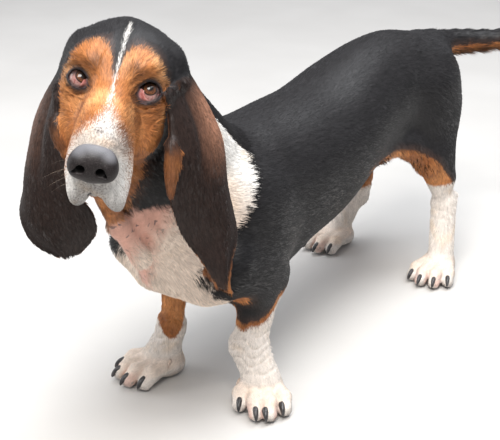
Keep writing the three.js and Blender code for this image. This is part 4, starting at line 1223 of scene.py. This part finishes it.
def tan_areas():
    """How far each point lies inside the tan, away from the ears."""
    elbow, elbow_right = inside_ball(co, (58, -36, 154), 22), inside_ball(co, (-56, -30, 140), 34)
    arch = 15 - line_distance(co[:, 1:], HIND_ARCH) - 14 * smooth(Y, 350, 310)
    inner = np.minimum((-normal[:, 0] * np.sign(X) + 0.12) * 30, np.minimum(Y - 360, 246 - Z))
    hind = np.maximum(arch, inner)
    hind[~on("hind_left", "hind_right", "trunk") | (Z > 262)] = OUTSIDE
    right_hock = np.where(on("hind_right"), np.minimum(520 - Y, 150 - Z) * 0.8, OUTSIDE)
    under_tail = np.where(on("tail"), (-normal[:, 2] - 0.15) * 20, OUTSIDE)
    rump = np.minimum(26 - np.abs(X), np.minimum(Y - 560, 322 - Z))
    return greatest(face_tan, throat, leg_tan, elbow, elbow_right, hind, right_hock, under_tail, rump)


def ear_marks():
    """At the points of the ears: how far inside the tan, the shade painted over it, and how brownish the
    black is, with a painted sheen on the upper ears.
    """
    index = ear_index[near_ear]
    main, left_ear = ear_main[index], on("ear_left")[near_ear]
    down, back = ear_uv[index].T
    facing = (normal[near_ear] * ear_normals[index]).sum(1)
    inner = -facing * 12 - 1 + np.where(main, 0, 2) - 14 * smooth(down, 0.12, 0.0)
    rim = (back - 0.95) * 90 - 14 * smooth(down, 0.80, 0.66)
    tip = 5 - np.abs(line_distance(co[near_ear], EAR_TIP) - 3)
    tan = greatest(inner, np.where(left_ear, np.maximum(rim, tip), OUTSIDE))
    # Shade painted over the ears' tan, darkest at the top of each rolled rim.
    shade = np.where(main, 0.45, 0.95 - 0.42 * smooth(down, 0.04, 0.40))
    # Painted sheen: the black of the upper ears turned a lighter brownish colour, as light glancing off them.
    sheen = smooth(back, 0.25, 0.6) * smooth(down, 0.56, 0.34) * smooth(down, 0.10, 0.26)
    return tan, shade, 0.06 * smooth(down, 0.06, 0.2) + np.where(left_ear, 0.9, 0.30) * sheen


def bare_skin():
    """The pink of the chest's bare skin, the groin and between the toes."""
    centre = np.interp(Z, [180, 190, 220, 250, 280, 318], [-24, -20, -5, 10, 28, 46])
    wide = np.interp(Z, [176, 190, 220, 250, 300, 322, 330], [2, 12, 19, 17, 18, 14, 2])
    chest = smooth(np.abs(X - centre) / wide, 1.3, 0.3) * smooth(Y, -60, -85)
    chest[on_head | near_ear | (Z > 336) | (Z < 172)] = 0
    groin = smooth(np.abs(X), 46, 30) * smooth(Y, 330, 380) * smooth(Z, 240, 215)
    pink = greatest(0, chest, np.where(on("trunk"), groin * 0.5, 0))
    between_toes = smooth(Z, 30, 16) * smooth(Z, 3, 8)
    for side, fore in LIMBS:
        turn, origin, size = paw_place(side, fore)
        local = ((co - origin) @ turn) / size
        toes = [t[0] for t in toes_of(side, fore)]
        for a, b in zip(toes[:-1], toes[1:]):
            gap = smooth(np.abs(local[:, 0] - (a + b) / 2), 5, 2) * smooth(local[:, 1], -14, -24)
            pink = np.maximum(pink, np.where(on_leg, gap * between_toes * 0.55, 0))
    return pink


def rims_and_shades():
    """The black skin round the eyes, along the mouth and under the feet, a painted shadow on the chin under
    the lips, and the shaded coat, with painted shade under the jaw.
    """
    rim, shade = np.zeros(len(co)), np.zeros(len(co))
    for s in (1, -1):
        h, v, out = eye_frame(head, s)
        near = (np.abs(h) < 30) & (np.abs(v) < 30) & (out > 3.5)
        edge = opening(h, v, s)
        dark = smooth(edge, 4.6 + 1.2 * smooth(v, -2, -8) + 1.8 * smooth(v, -2, 4), 2.2)
        rim = np.maximum(rim, np.where(near, dark, 0))
        about = 0.7 * smooth(edge, 10.5 - 4.5 * smooth(h, 4, 12), 2.5) * smooth(out, 3.5, 6)
        shade = greatest(shade, np.where(near, about, 0), 0.6 * face_spot(s * 21, 15, 9, 8))
    mouth = smooth(np.abs(union(SKULL, co) - union(JAW, co)), 3.0, 0.8) * smooth(hy, -6, -24) * (hz < -50)
    rim = greatest(
        rim,
        np.where(on("head", "neck"), mouth, 0) * 0.95,
        np.where(on_leg, smooth(Z, 5.0, 2.5), 0) * 0.85,
        # painted shadow: the chin darkened under the hanging lips
        0.5 * smooth(hv, -120, -129) * on_head * (hy < -30))
    shade = greatest(
        shade,
        face_spot(4, -47, 7, 5) * 0.45,
        smooth(np.minimum(face_tan, 30), 7, 0) * on_head * 0.45,
        # painted shade: the tan under the jaw darkened, where the head shades it
        smooth(np.minimum(throat, 30), -2, 6) * 0.35 * (face_tan < 4))
    return rim, shade


def warm_white_and_lit_black(white):
    """Where the white is yellowed, partly as painted shade in the creases of the legs, and where the black is
    lightened as painted light, on all but the neck and the ears.
    """
    front_chest = smooth(Y, -20, -60) * smooth(Z, 336, 318) * smooth(np.abs(X - 20), 130, 80)
    chest_skin = on("neck", "trunk") | (on_leg & (Z > 150))
    toe_tops = smooth(Z, 44, 30) * smooth(Z, 12, 24)
    # Painted shade: the creases of the pasterns and hocks are tinted warmer and darker, as shade in the
    # folds.
    creases = np.clip(skin_folds(co) / PASTERN_CREASE[0], 0, 1)
    return greatest(
        np.where(on_leg, greatest(0.25, toe_tops * 0.5, 0.6 * creases), 0),
        np.where(chest_skin, 0.62 * front_chest, 0),
        0.4 * smooth(np.abs(hx - 2), 6, 17) * on_head * smooth(hv, -78, -66),
        # painted light: away from the white the black is lightened, but not on the neck and the ears, which
        # stay dark as if shaded
        0.8 * smooth(white, -3, -9) * ~near_ear * ~on("neck"),
        np.where(on_head, 0.75 * nose_band, 0))


def grey_areas():
    """The grey patch over the nose, the grey of the blaze's top, the grey of the lips and under the nose,
    partly painted shade, and a painted shade on the white of the snout's top where the lamps light it most.
    """
    # The lips and under the nose: grey partly their own, partly painted shade.
    lip = 0.85 * smooth(hv, -108, -123) + smooth(np.abs(hx - 1), 20, 8) * smooth(hv, -90, -102)
    return greatest(
        1.1 * face_spot(-1, -51, 8, 6),
        0.72 * np.clip(lip, 0, 1) * on_head * (hy < -60),
        0.30 * smooth(hv, -14, -4) * on_head,
        # painted shade: the white of the snout's top greyed, where the lamps light it most
        0.55 * smooth(hv, -76, -60) * smooth(hv, -8, -20) * on_head)


def ticking():
    """The strength of the small dark flecks."""
    snout = 0.3 + 0.4 * smooth(hv, -96, -116) + 0.3 * np.exp(-((hv + 48) / 8) ** 2)
    return np.where(on_head, snout * smooth(hy, -40, -70), np.where(on_leg, 0.1, 0))


def markings():
    """What the coat's materials read at each point of the skin, three values at a time."""
    white, tan, brown_and_sheen = white_areas(), tan_areas(), np.zeros(len(co))
    rim, shade = rims_and_shades()
    tan[near_ear], shade[near_ear], brown_and_sheen[near_ear] = ear_marks()
    bright = np.where(on_head, smooth(hv, -60, 20), 0.15) * (~near_ear)
    wander = np.where(on_head, 0.3, np.where(on_leg, 0.5, 1.0))
    spread = np.where(on_head, 14.0 - 11.2 * smooth(hv, -34, -8), 3.0)
    inside = [np.clip(d, -MOST_INSIDE, MOST_INSIDE) for d in (white, tan)]
    rows = ((*inside, bare_skin()), (rim, brown_and_sheen, bright), (ticking(), shade, wander),
            (spread, warm_white_and_lit_black(white), grey_areas()))
    return [np.stack(row, -1) for row in rows]


marks, more, fine, soft = markings()
skin = mesh_object("skin", co, faces, skin_coat,
                   {"marks": marks, "more": more, "fine": fine, "soft": soft, "lie": np.abs(lie) ** 2})
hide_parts("torso", "tail", "neck", "head", "jaw", "ear_left", "ear_right", "fore_leg_left",
            "fore_leg_right", "hind_leg_left", "hind_leg_right", "fore_paw_left", "fore_paw_right",
            "hind_paw_left", "hind_paw_right")
print("skin", len(co), len(faces))

# Tufts

# For each part: roots per square mm, length, width at the root, lift in degrees.
COAT = {
    "trunk": (0.17, 10.0, 1.4, 5), "fore_left": (0.38, 4.6, 1.0, 6), "fore_right": (0.38, 4.6, 1.0, 6),
    "hind_left": (0.26, 5.5, 1.1, 6), "hind_right": (0.26, 5.5, 1.1, 6), "tail": (0.26, 11.0, 1.4, 10),
    "neck": (0.24, 10.0, 1.3, 6), "head": (0.44, 6.6, 1.15, 9), "ear_left": (0.34, 6.0, 1.1, 6),
    "ear_right": (0.34, 6.0, 1.1, 6)}
# Where each part's tufts lie on the unwrap: left, bottom, right and top.
TILES = {
    "trunk": (0, 0, 0.62, 0.62), "tail": (0, 0, 0.62, 0.62), "head": (0.62, 0, 1, 0.38),
    "neck": (0.62, 0.38, 1, 0.62), "ear_left": (0, 0.62, 0.26, 1), "ear_right": (0.26, 0.62, 0.52, 1),
    "fore_left": (0.52, 0.62, 0.68, 1), "fore_right": (0.68, 0.62, 0.84, 1),
    "hind_left": (0.84, 0.62, 1, 0.81), "hind_right": (0.84, 0.81, 1, 1)}


def vertex_sizes():
    """Density, length, width and lift of the tufts at each point of the skin."""
    size = np.array([COAT[name] for name in PARTS])[part]

    def change(share, denser, longer=0, wider=0, raised=0):
        size[:, :3] *= 1 + np.multiply.outer(share, (denser, longer, wider))
        size[:, 3] += raised * share

    change(smooth(hy, -30, -70) * on_head, 0.7, -0.42, -0.3)
    change(smooth(Z, 60, 36) * on_leg, 0.7, -0.42, -0.3)
    change(on_leg & (Z < 4), -1)
    bare = np.maximum(more[:, 0], marks[:, 2] * 0.9)
    size[:, 0] *= np.clip(1.15 - bare * 1.3, 0, 1)
    change(smooth(np.abs(marks[:, 0]), 16, 4) * on("neck", "trunk"), 0.6, 0.25)
    fringe = on("hind_left", "hind_right", "trunk") * smooth(marks[:, 1], -6, 4)
    change(fringe * (Y > 300) * smooth(Z, 160, 190), 0, 0.6, 0, 12)
    change(on("tail") * smooth(-normal[:, 2], 0.1, 0.7), 0, 0.5, 0, 8)
    return size


sizes = vertex_sizes()
triangles = []
for q in faces:
    triangles.append((q[0], q[1], q[2]))
    if len(q) == 4:
        triangles.append((q[0], q[2], q[3]))
triangles = np.array(triangles, np.int64)
corner = co[triangles]
area = np.linalg.norm(np.cross(corner[:, 1] - corner[:, 0], corner[:, 2] - corner[:, 0]), axis=1) / 2
past = (corner.mean(1) - CUT_AT) @ CUT_NORMAL
hidden = np.where(triangles[:, 0] < body_count, past > 2, past < -2)
hidden &= ~near_ear[triangles[:, 0]]
chance = area * sizes[triangles, 0].mean(1) * ~hidden
total = int(chance.sum())
pick = random.choice(len(triangles), total, p=chance / chance.sum())
print("tufts", total, {name: int(chance[part[triangles[:, 0]] == i].sum()) for i, name in enumerate(PARTS)})
r1, r2 = random.random(total), random.random(total)
flip = r1 + r2 > 1
r1[flip], r2[flip] = 1 - r1[flip], 1 - r2[flip]
share = np.stack([1 - r1 - r2, r1, r2], -1)


def at_roots(values):
    return (values[triangles[pick]] * share.reshape(share.shape + (1,) * (values.ndim - 1))).sum(1)


root = at_roots(co)
root_normal = unit(at_roots(normal))
root_lie = at_roots(lie)
root_lie = unit(root_lie - (root_lie * root_normal).sum(1, keepdims=True) * root_normal)
root_part = part[triangles[pick, 0]]
root_size = at_roots(sizes)
root_facts = {
    "marks": at_roots(marks), "more": at_roots(more), "fine": at_roots(fine), "soft": at_roots(soft),
    "lie": root_lie ** 2}


def unwrapped():
    """Each root's place on an unwrap of the skin, part by part."""
    angle, along = np.zeros(total), np.zeros(total)
    h = to_head(root)
    table = {
        "trunk": (np.arctan2(root[:, 0], root[:, 2] - 250), (root[:, 1] + 90) / 830),
        "tail": (np.arctan2(root[:, 0], root[:, 2] - 335), (root[:, 1] + 90) / 830),
        "head": (np.arctan2(h[:, 0], h[:, 2] + 30), (h[:, 1] + 130) / 260),
        "neck": (np.arctan2(root[:, 0] - 30, root[:, 1] + 110), (root[:, 2] - 200) / 300)}
    for index, name in enumerate(PARTS):
        here = root_part == index
        if name in table:
            a, b = table[name]
            angle[here], along[here] = a[here], b[here]
        elif name.startswith("ear"):
            flat = root[here] - in_head(0, 46, 0)
            angle[here] = np.arctan2(flat[:, 1] + 10, flat[:, 0] * 0.5) * 0.8
            along[here] = 1 - (root[here, 2] - 240) / 270
        else:
            side = 1 if name.endswith("left") else -1
            fore = name.startswith("fore")
            axis = FORE[side]["wrist"] if fore else HIND[side]["hock"]
            angle[here] = np.arctan2(root[here, 0] - axis[0], root[here, 1] - axis[1])
            along[here] = root[here, 2] / (190 if fore else 330)
    tile = np.array([TILES[name] for name in PARTS])[root_part]
    s = np.clip(angle / (2 * math.pi) + 0.5, 0, 1) * 0.96 + 0.02
    t = np.clip(along, 0, 1) * 0.96 + 0.02
    low, high = tile[:, :2], tile[:, 2:]
    return low + np.stack([s, t], -1) * (high - low)


root_uv = unwrapped()
root_facts["tint"] = random.random(total)
length = root_size[:, 1] * (0.75 + 0.5 * random.random(total))
width = root_size[:, 2] * (0.75 + 0.5 * random.random(total))
lift = np.radians(root_size[:, 3] * (0.6 + 0.9 * random.random(total)))
turn = np.radians(random.normal(0, 9, total))
across = np.cross(root_normal, root_lie)
direction = root_lie * np.cos(turn)[:, None] + across * np.sin(turn)[:, None]
across = np.cross(root_normal, direction)


def tuft_piece(name, chosen):
    """One piece of the coat: a slim three-sided tuft at each chosen root."""
    n, d, a = root_normal[chosen], direction[chosen], across[chosen]
    w, l = width[chosen][:, None], length[chosen][:, None]
    rise = lift[chosen][:, None]
    base = root[chosen] - n * 0.5
    tip = base + d * l * np.cos(rise) + n * (l * np.sin(rise) + 0.5)
    back = base + n * (0.75 + 0.25 * w) + d * l * 0.22
    points = np.stack([base + a * w / 2, base - a * w / 2, back, tip], 1)
    count = len(n)
    at = np.arange(count)[:, None] * 4
    shape = np.array([(0, 2, 3), (2, 1, 3), (1, 0, 3), (0, 1, 2)])
    tris = (at[:, None, :] + shape[None]).reshape(-1, 3)
    hair = np.zeros((count, 4, 3))
    hair[:, 3, 0] = 1
    hair[:, 2, 0] = 0.3
    facts = {key: np.repeat(value[chosen], 4, axis=0) for key, value in root_facts.items()}
    facts["hair"] = hair.reshape(-1, 3)
    mesh = mesh_object(name, points.reshape(-1, 3), tris, tuft_coat, facts).data
    layer = mesh.uv_layers.new(name="OFBake")
    corners = np.array([(-1, -1), (1, -1), (0, 0), (0, 1)]) * PATCH
    uv = root_uv[chosen][:, None, :] + corners[None]
    layer.data.foreach_set("uv", uv.reshape(-1, 2)[tris.ravel()].astype(np.float32).ravel())
    sideways = np.array([0.09, -0.09, 0, 0])[None, :, None]
    shown = unit(n[:, None, :] - d[:, None, :] * 0.12 + a[:, None, :] * sideways)
    mesh.normals_split_custom_set_from_vertices(shown.reshape(-1, 3).astype(np.float32))


bundles = {"trunk": ["trunk", "tail"], "neck": ["neck"], "head": ["head"], "ears": ["ear_left", "ear_right"],
           "legs": ["fore_left", "fore_right", "hind_left", "hind_right"]}
for label, names in bundles.items():
    chosen = np.nonzero(np.isin(root_part, [PARTS.index(n) for n in names]))[0]
    chosen = chosen[np.argsort(root[chosen, 1], kind="stable")]
    for number, block in enumerate(np.array_split(chosen, max(1, math.ceil(len(chosen) / MOST_TUFTS)))):
        if len(block):
            tuft_piece(f"coat_{label}_{number + 1}", block)
print("coat done")

# Eyes

GAZES = {1: unit(np.array([0.09, -0.66, 0.75])), -1: unit(np.array([0.35, -0.59, 0.74]))}


def eye_material():
    paint = Paint("eye", Coat_Weight=0.35, Coat_Roughness=0.08, Specular_IOR_Level=0.35)
    polar = paint.attribute("polar", "Vector")
    out = paint.parts(polar)[2]
    fibres = paint.noise(polar, 9, 3, 0.6)
    iris = paint.mix(paint.step(fibres, 0.35, 0.65), (0.055, 0.018, 0.007), (0.16, 0.058, 0.020))
    iris = paint.mix(paint.step(out, 0.27, 0.38), (0.035, 0.012, 0.005), iris)
    pupil = paint.mix(paint.step(out, 0.225, 0.26), (0.002, 0.002, 0.002), iris)
    limbus = paint.mix(paint.step(out, 0.52, 0.59), pupil, (0.010, 0.006, 0.005))
    white = paint.mottle(paint.place(), 420, 3, 0.56, 0.66, (0.32, 0.17, 0.15), (0.24, 0.085, 0.075))
    colour = paint.mix(paint.step(out, 0.61, 0.68), limbus, white)
    colour = paint.mix(paint.attribute("lidded"), colour, (0.008, 0.005, 0.004))
    return paint.finish(colour, 0.2)


def eyeball(s):
    centre, gaze = eye_at(s), GAZES[s]
    side = unit(np.cross(gaze, np.array([0, 0, 1.0])))
    up = np.cross(side, gaze)
    rings, turns = 56, 72
    theta = np.linspace(0, math.pi, rings + 1)[1:-1]
    phi = np.linspace(0, 2 * math.pi, turns, endpoint=False)
    radius = EYE_RADIUS + 0.75 * smooth(theta, math.radians(40), 0)
    t, f = np.meshgrid(theta, phi, indexing="ij")
    ring = (gaze * np.cos(t)[..., None] + (side * np.cos(f)[..., None] + up * np.sin(f)[..., None])
            * np.sin(t)[..., None])
    p = centre + ring * radius[:, None, None]
    out = np.sin(np.minimum(t, math.pi / 2))
    polar = np.stack([np.cos(f), np.sin(f), out], -1).reshape(-1, 3)
    ends = np.array([centre + gaze * radius[0], centre - gaze * EYE_RADIUS])
    points = np.concatenate([p.reshape(-1, 3), ends])
    polar = np.concatenate([polar, [(0, 0, 0), (0, 0, 1)]])
    at = np.arange((rings - 1) * turns).reshape(rings - 1, turns)
    after = np.roll(at, -1, axis=1)
    quads = np.stack([at[:-1], at[1:], after[1:], after[:-1]], -1).reshape(-1, 4).tolist()
    n = len(points)
    quads += [(n - 2, int(a), int(b)) for a, b in zip(at[0], after[0])]
    quads += [(n - 1, int(b), int(a)) for a, b in zip(at[-1], after[-1])]
    # The shade of the lids on the ball, deepest under the upper one.
    h, v, _ = eye_frame(points, s)
    edge = opening(h, v, s)
    lidded = np.maximum(smooth(edge, -6.0, -0.8) * smooth(v, -1.5, 4.5) * 0.9, smooth(edge, -2.2, -0.2) * 0.7)
    lidded = np.maximum(lidded, smooth(h, 2.0, 6.5) * (0.85 if s > 0 else 0.3))
    return from_head(points), quads, polar, lidded


def haw_material():
    paint = Paint("haw", Coat_Weight=0.6, Coat_Roughness=0.08, Subsurface_Weight=0.15)
    paint.shader.inputs["Subsurface Radius"].default_value = (0.004, 0.0015, 0.001)
    here = paint.place()
    colour = paint.mottle(here, 260, 3, 0.35, 0.7, (0.50, 0.21, 0.19), (0.36, 0.11, 0.10))
    colour = paint.mix(paint.attribute("edge"), colour, (0.06, 0.03, 0.03))
    paint.bump(paint.noise(here, 700, 2), 0.25, 0.0005)
    return paint.finish(colour, 0.28)


def haw(s):
    """The lining of the lower lid, between the eye and the drooping lid."""
    n = 41
    h, v = np.meshgrid(np.linspace(-16, 16, n), np.linspace(-14, 8, n), indexing="ij")
    r2 = h ** 2 + v ** 2
    globe = np.sqrt(np.maximum(EYE_RADIUS ** 2 - r2, 0))
    bow = 0.045 * (h + 1) ** 2 * np.where(h < 0, 1.0, 0.5)
    brim = (-0.9 if s > 0 else -1.8) - 0.17 * h + bow + (0 if s > 0 else 0.8)
    over = smooth(v, brim + 1.6, brim - 0.6)
    base = 5.6 + 1.4 * smooth(np.hypot(h, v), 9, 14)
    on_ball = np.where(over > 0, globe + 0.55 * over - 2.2 * (1 - over), globe - 2.2)
    height = np.minimum(smooth_max(on_ball, base * over - 3 * (1 - over), 2.5), 9.0)
    edge = opening(h, v, s)
    keep = 3.0
    height = np.where(edge > keep, np.maximum(3.0 - 1.6 * (edge - keep), -7.0), height)
    dark = smooth(edge, -2.6, 0.0)
    layers = [np.stack([s * h, -w, v], -1).reshape(-1, 3) for w in (height, np.minimum(height - 1.5, 0.0))]
    points = from_head(np.concatenate(layers) @ turned(s * EYE_YAW, EYE_PITCH).T + eye_at(s))
    at = np.arange(n * n).reshape(n, n)
    face = np.stack([at[:-1, :-1], at[1:, :-1], at[1:, 1:], at[:-1, 1:]], -1).reshape(-1, 4)
    loop, after = round_the_edge(at)
    side = np.stack([loop, after, after + n * n, loop + n * n], -1)
    quads = np.concatenate([face, face[:, ::-1] + n * n, side])
    if s < 0:
        quads = quads[:, ::-1]
    return points, quads, np.concatenate([dark.ravel(), dark.ravel()])


eye_paint, haw_paint = eye_material(), haw_material()
for s, side in ((1, "left"), (-1, "right")):
    points, quads, polar, lidded = eyeball(s)
    piece = mesh_object(f"eyeball_{side}", points, quads, eye_paint,
                        {"polar": polar, "lidded": lidded})
    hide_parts(f"eye_{side}")
    points, quads, dark = haw(s)
    mesh_object(f"haw_{side}", points, quads, haw_paint, {"edge": dark})

# Nose


def nose_material():
    paint = Paint("nose", Coat_Weight=0.05, Coat_Roughness=0.3, Specular_IOR_Level=0.17)
    here = paint.place()
    pebbles = paint.cells(here, 900)
    deep = paint.attribute("deep")
    colour = paint.mottle(here, 60, 2, 0.35, 0.7, (0.011, 0.0085, 0.0085), (0.022, 0.017, 0.017))
    colour = paint.mix(paint.step(pebbles, 0.5, 0.9), colour, (0.028, 0.023, 0.023))
    # Painted reflection: the up-facing top of the leather lightened blue-grey, as the sky's sheen on the wet
    # nose.
    colour = paint.mix(paint.times(paint.attribute("top"), 0.8), colour, (0.19, 0.19, 0.205))
    # Painted shade: the leather darkened deep in the nostrils and the groove.
    colour = paint.mix(deep, colour, (0.003, 0.0025, 0.0025))
    paint.bump(paint.plus(paint.times(pebbles, 0.8), paint.noise(here, 300, 2)), 0.35, 0.0007)
    rough = paint.plus(paint.times(paint.noise(here, 200, 2), 0.25), 0.34)
    return paint.finish(colour, paint.maths("MAXIMUM", rough, deep))


def nose_forms():
    """The nose in the head's frame, and what is cut from it: the groove and the nostrils."""
    forms = [egg((-1, -107, -42.5), (22.5, 16, 18.5), 5), egg((-1, -101, -37), (19, 15, 13), 8)]
    cuts = [limb((-1, -127, -44), (-1, -116, -64), 1.0, 1.6, 2.5, cut=True)]
    for s in (1, -1):
        forms.append(egg((s * 13.5 - 1, -111, -43), (11, 12, 13), 5, yaw=s * 20))
        cuts.append(egg((s * 10.0 - 2, -123, -43), (4.6, 9.5, 4.2), 2, yaw=s * 12, roll=s * -18, cut=True))
        cuts.append(limb((s * 12 - 2, -123, -44), (s * 21 - 2, -115, -50), 2.2, 1.3, 1.6, cut=True))
    return forms, cuts


forms, cuts = nose_forms()
field = union_grid(forms + cuts, NOSE_LOW, NOSE_HIGH, NOSE_GRID)
points, quads = surface(field, NOSE_LOW, NOSE_GRID)
beneath = union(forms, points)
# How far inside the cuts, for painted shade in the nostrils and the groove.
deep = smooth(beneath, -0.9, -3.2)
# How far each point faces up, for the painted reflection on the top of the nose.
upward = vertex_normals(points, quads)[:, 2]
upward *= np.sign((upward * (points[:, 2] + 42.5)).mean())
top = smooth(upward + 0.008 * (points[:, 1] + 112), 0.45, 1.02) * smooth(beneath, -0.9, -0.2)
nose_tip = mesh_object("nose_leather", from_head(points), quads, nose_material(),
                       {"deep": deep, "top": top})
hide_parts("nose")
print("nose", len(points))

# Claws


def claw_material(name, dark, light):
    paint = Paint(name, Coat_Weight=0.2, Coat_Roughness=0.3)
    streak = paint.noise(paint.place((1, 1, 0.2)), 500, 2)
    colour = paint.mix(paint.step(streak, 0.35, 0.7), dark, light)
    paint.bump(streak, 0.3, 0.0004)
    return paint.finish(colour, paint.plus(paint.times(paint.noise(paint.place(), 300), 0.2), 0.25))


def claw(place, root_at, splay, reach, thick):
    """A claw of a given length and half width, bent down towards its tip."""
    rings, sides, bent = 12, 14, 1.35
    a = math.radians(splay)
    forward = np.array([math.sin(a), -math.cos(a), 0])
    across_claw = np.array([math.cos(a), math.sin(a), 0])
    points = []
    for i in range(rings):
        t = i / (rings - 1)
        bend = bent * t
        fall = np.array([0, 0, -reach * (1 - math.cos(bend)) / bent])
        centre = np.array(root_at, float) + forward * (reach * math.sin(bend) / bent) + fall
        up = np.array([0, 0, 1.0]) * math.cos(bend) + forward * math.sin(bend)
        r = thick * (1 - t) ** 0.6 + 0.25
        for j in range(sides):
            f = 2 * math.pi * j / sides
            points.append(centre + across_claw * (r * 0.8 * math.cos(f)) + up * (r * math.sin(f)))
    corners = [(i * sides + j, i * sides + (j + 1) % sides) for i in range(rings - 1) for j in range(sides)]
    quads = [(a, a + sides, b + sides, b) for a, b in corners]
    quads.append(tuple(range(sides)))
    quads.append(tuple(range(rings * sides - 1, (rings - 1) * sides - 1, -1)))
    turn, origin, size = place
    return np.array(points) @ turn.T * size + origin, quads


# How far the claws of the left fore paw grow beside the middle of their toes.
CLAWS_BESIDE = (0, -1, -6, -4)
claw_paint = claw_material("claw", (0.012, 0.011, 0.012), (0.06, 0.055, 0.055))
pale_claw_paint = claw_material("pale_claw", (0.38, 0.28, 0.22), (0.62, 0.50, 0.42))
for fore, kind in ((True, "fore"), (False, "hind")):
    for s, side in ((1, "left"), (-1, "right")):
        place = paw_place(s, fore)
        roots = [(toe_tip(toe, 15, -3), toe[2]) for toe in toes_of(s, fore)]
        if fore and s > 0:
            roots = [(at + (beside, 0, 0), splay) for (at, splay), beside in zip(roots, CLAWS_BESIDE)]
        if fore:
            roots.append((np.array([s * -27.0, 8, 32]), s * -40))
        for number, (at, splay) in enumerate(roots):
            dew = number == 4
            points, quads = claw(place, at, splay, *(DEW_CLAW if dew else CLAW))
            name = f"{kind}_claw_{side}_{number + 1}"
            horn = pale_claw_paint if dew else claw_paint
            piece = mesh_object(f"horn_{name}", points, quads, horn)
            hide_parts(name)

# Whiskers


def strand_mesh(lines, radius, sides=5):
    """Round strands along lines, each slimmer towards its end."""
    points, quads = [], []
    for line in lines:
        line = np.array(line)
        along = unit(np.gradient(line, axis=0))
        side = unit(np.cross(along, (0.3, 0.1, 1.0)))
        up = np.cross(along, side)
        start = len(points)
        n = len(line)
        for i in range(n):
            r = radius * (1 - 0.85 * i / (n - 1))
            for j in range(sides):
                f = 2 * math.pi * j / sides
                points.append(line[i] + side[i] * r * math.cos(f) + up[i] * r * math.sin(f))
        for i in range(n - 1):
            for j in range(sides):
                a, b = start + i * sides + j, start + i * sides + (j + 1) % sides
                quads.append((a, b, b + sides, a + sides))
        quads.append(tuple(start + j for j in range(sides - 1, -1, -1)))
        quads.append(tuple(start + (n - 1) * sides + j for j in range(sides)))
    return np.array(points), quads


def whiskers():
    """The middle lines of the whiskers, in three rows on each side."""
    lines = []
    for s in (1, -1):
        for row in range(3):
            for k in range(2):
                at = np.array([s * (18 + 3.2 * k), -92 + 10 * k, -52 - 9 * row - 2.0 * k])
                p = settle(head_distance, from_head(at)[None], 6, 6.0)[0]
                stray = random.normal(0, 0.16, 3)
                lean = unit(np.array([s * (0.9 + 0.1 * k), -0.15 + 0.22 * k, -0.35 - 0.12 * row]) + stray)
                reach = 11 + 12 * random.random() + 3 * k
                t = np.linspace(0, 1, 9)[:, None]
                sag = np.array([0, 0, -1.0]) * reach * 0.22
                local = lean * reach * t + sag * t ** 2
                lines.append(p + local @ HEAD_TURN.T)
    return lines


paint = Paint("whisker")
tone = paint.mottle(paint.place(), 60, 2, 0.4, 0.6, (0.32, 0.25, 0.19), (0.08, 0.055, 0.04))
points, quads = strand_mesh(whiskers(), WHISKER_RADIUS)
mesh_object("whiskers", points, quads, paint.finish(tone, 0.4))

# Floor, light and camera


def floor_material():
    paint = Paint("floor", Specular_IOR_Level=0.25)
    here = paint.place()
    tone = paint.mottle(here, 3, 3, 0.3, 0.7, (0.52, 0.505, 0.485), (0.56, 0.545, 0.525))
    paint.bump(paint.noise(here, 180, 3), 0.05, 0.001)
    return paint.finish(tone, 0.7)


bpy.ops.mesh.primitive_plane_add(size=FLOOR_SIZE, location=(0, 0, 0))
floor = bpy.context.object
floor.name = "floor"
floor.data.materials.append(floor_material())

scene = bpy.context.scene
scene.view_settings.view_transform = "Standard"
world = bpy.data.worlds.new("studio")
world.use_nodes = True
scene.world = world
sky = world.node_tree.nodes["Background"]
sky.inputs[0].default_value = SKY_COLOUR
sky.inputs[1].default_value = SKY_STRENGTH


def put_up(name, data, at, back):
    """Puts a lamp or a camera in the scene, with its back turned a given way."""
    thing = bpy.data.objects.new(name, data)
    scene.collection.objects.link(thing)
    thing.location = at
    thing.rotation_mode = "QUATERNION"
    thing.rotation_quaternion = back.to_track_quat("Z", "Y")
    return thing


for name, (at, aim, size, power, colour) in LAMPS.items():
    lamp = bpy.data.lights.new(name, "AREA")
    lamp.shape = "DISK"
    lamp.size, lamp.energy, lamp.color = size, power, colour
    put_up(name, lamp, at, Vector(at) - Vector(aim))

azimuth, elevation = math.radians(CAMERA_AZIMUTH), math.radians(CAMERA_ELEVATION)
back = Vector((math.sin(azimuth) * math.cos(elevation), -math.cos(azimuth) * math.cos(elevation),
               math.sin(elevation)))
lens = bpy.data.cameras.new("camera")
lens.lens, lens.sensor_width, lens.clip_end = CAMERA_LENS, CAMERA_SENSOR, CAMERA_REACH
bpy.context.scene.camera = put_up("camera", lens, in_scene(CAMERA_AT), back)

bpy.context.view_layer.update()
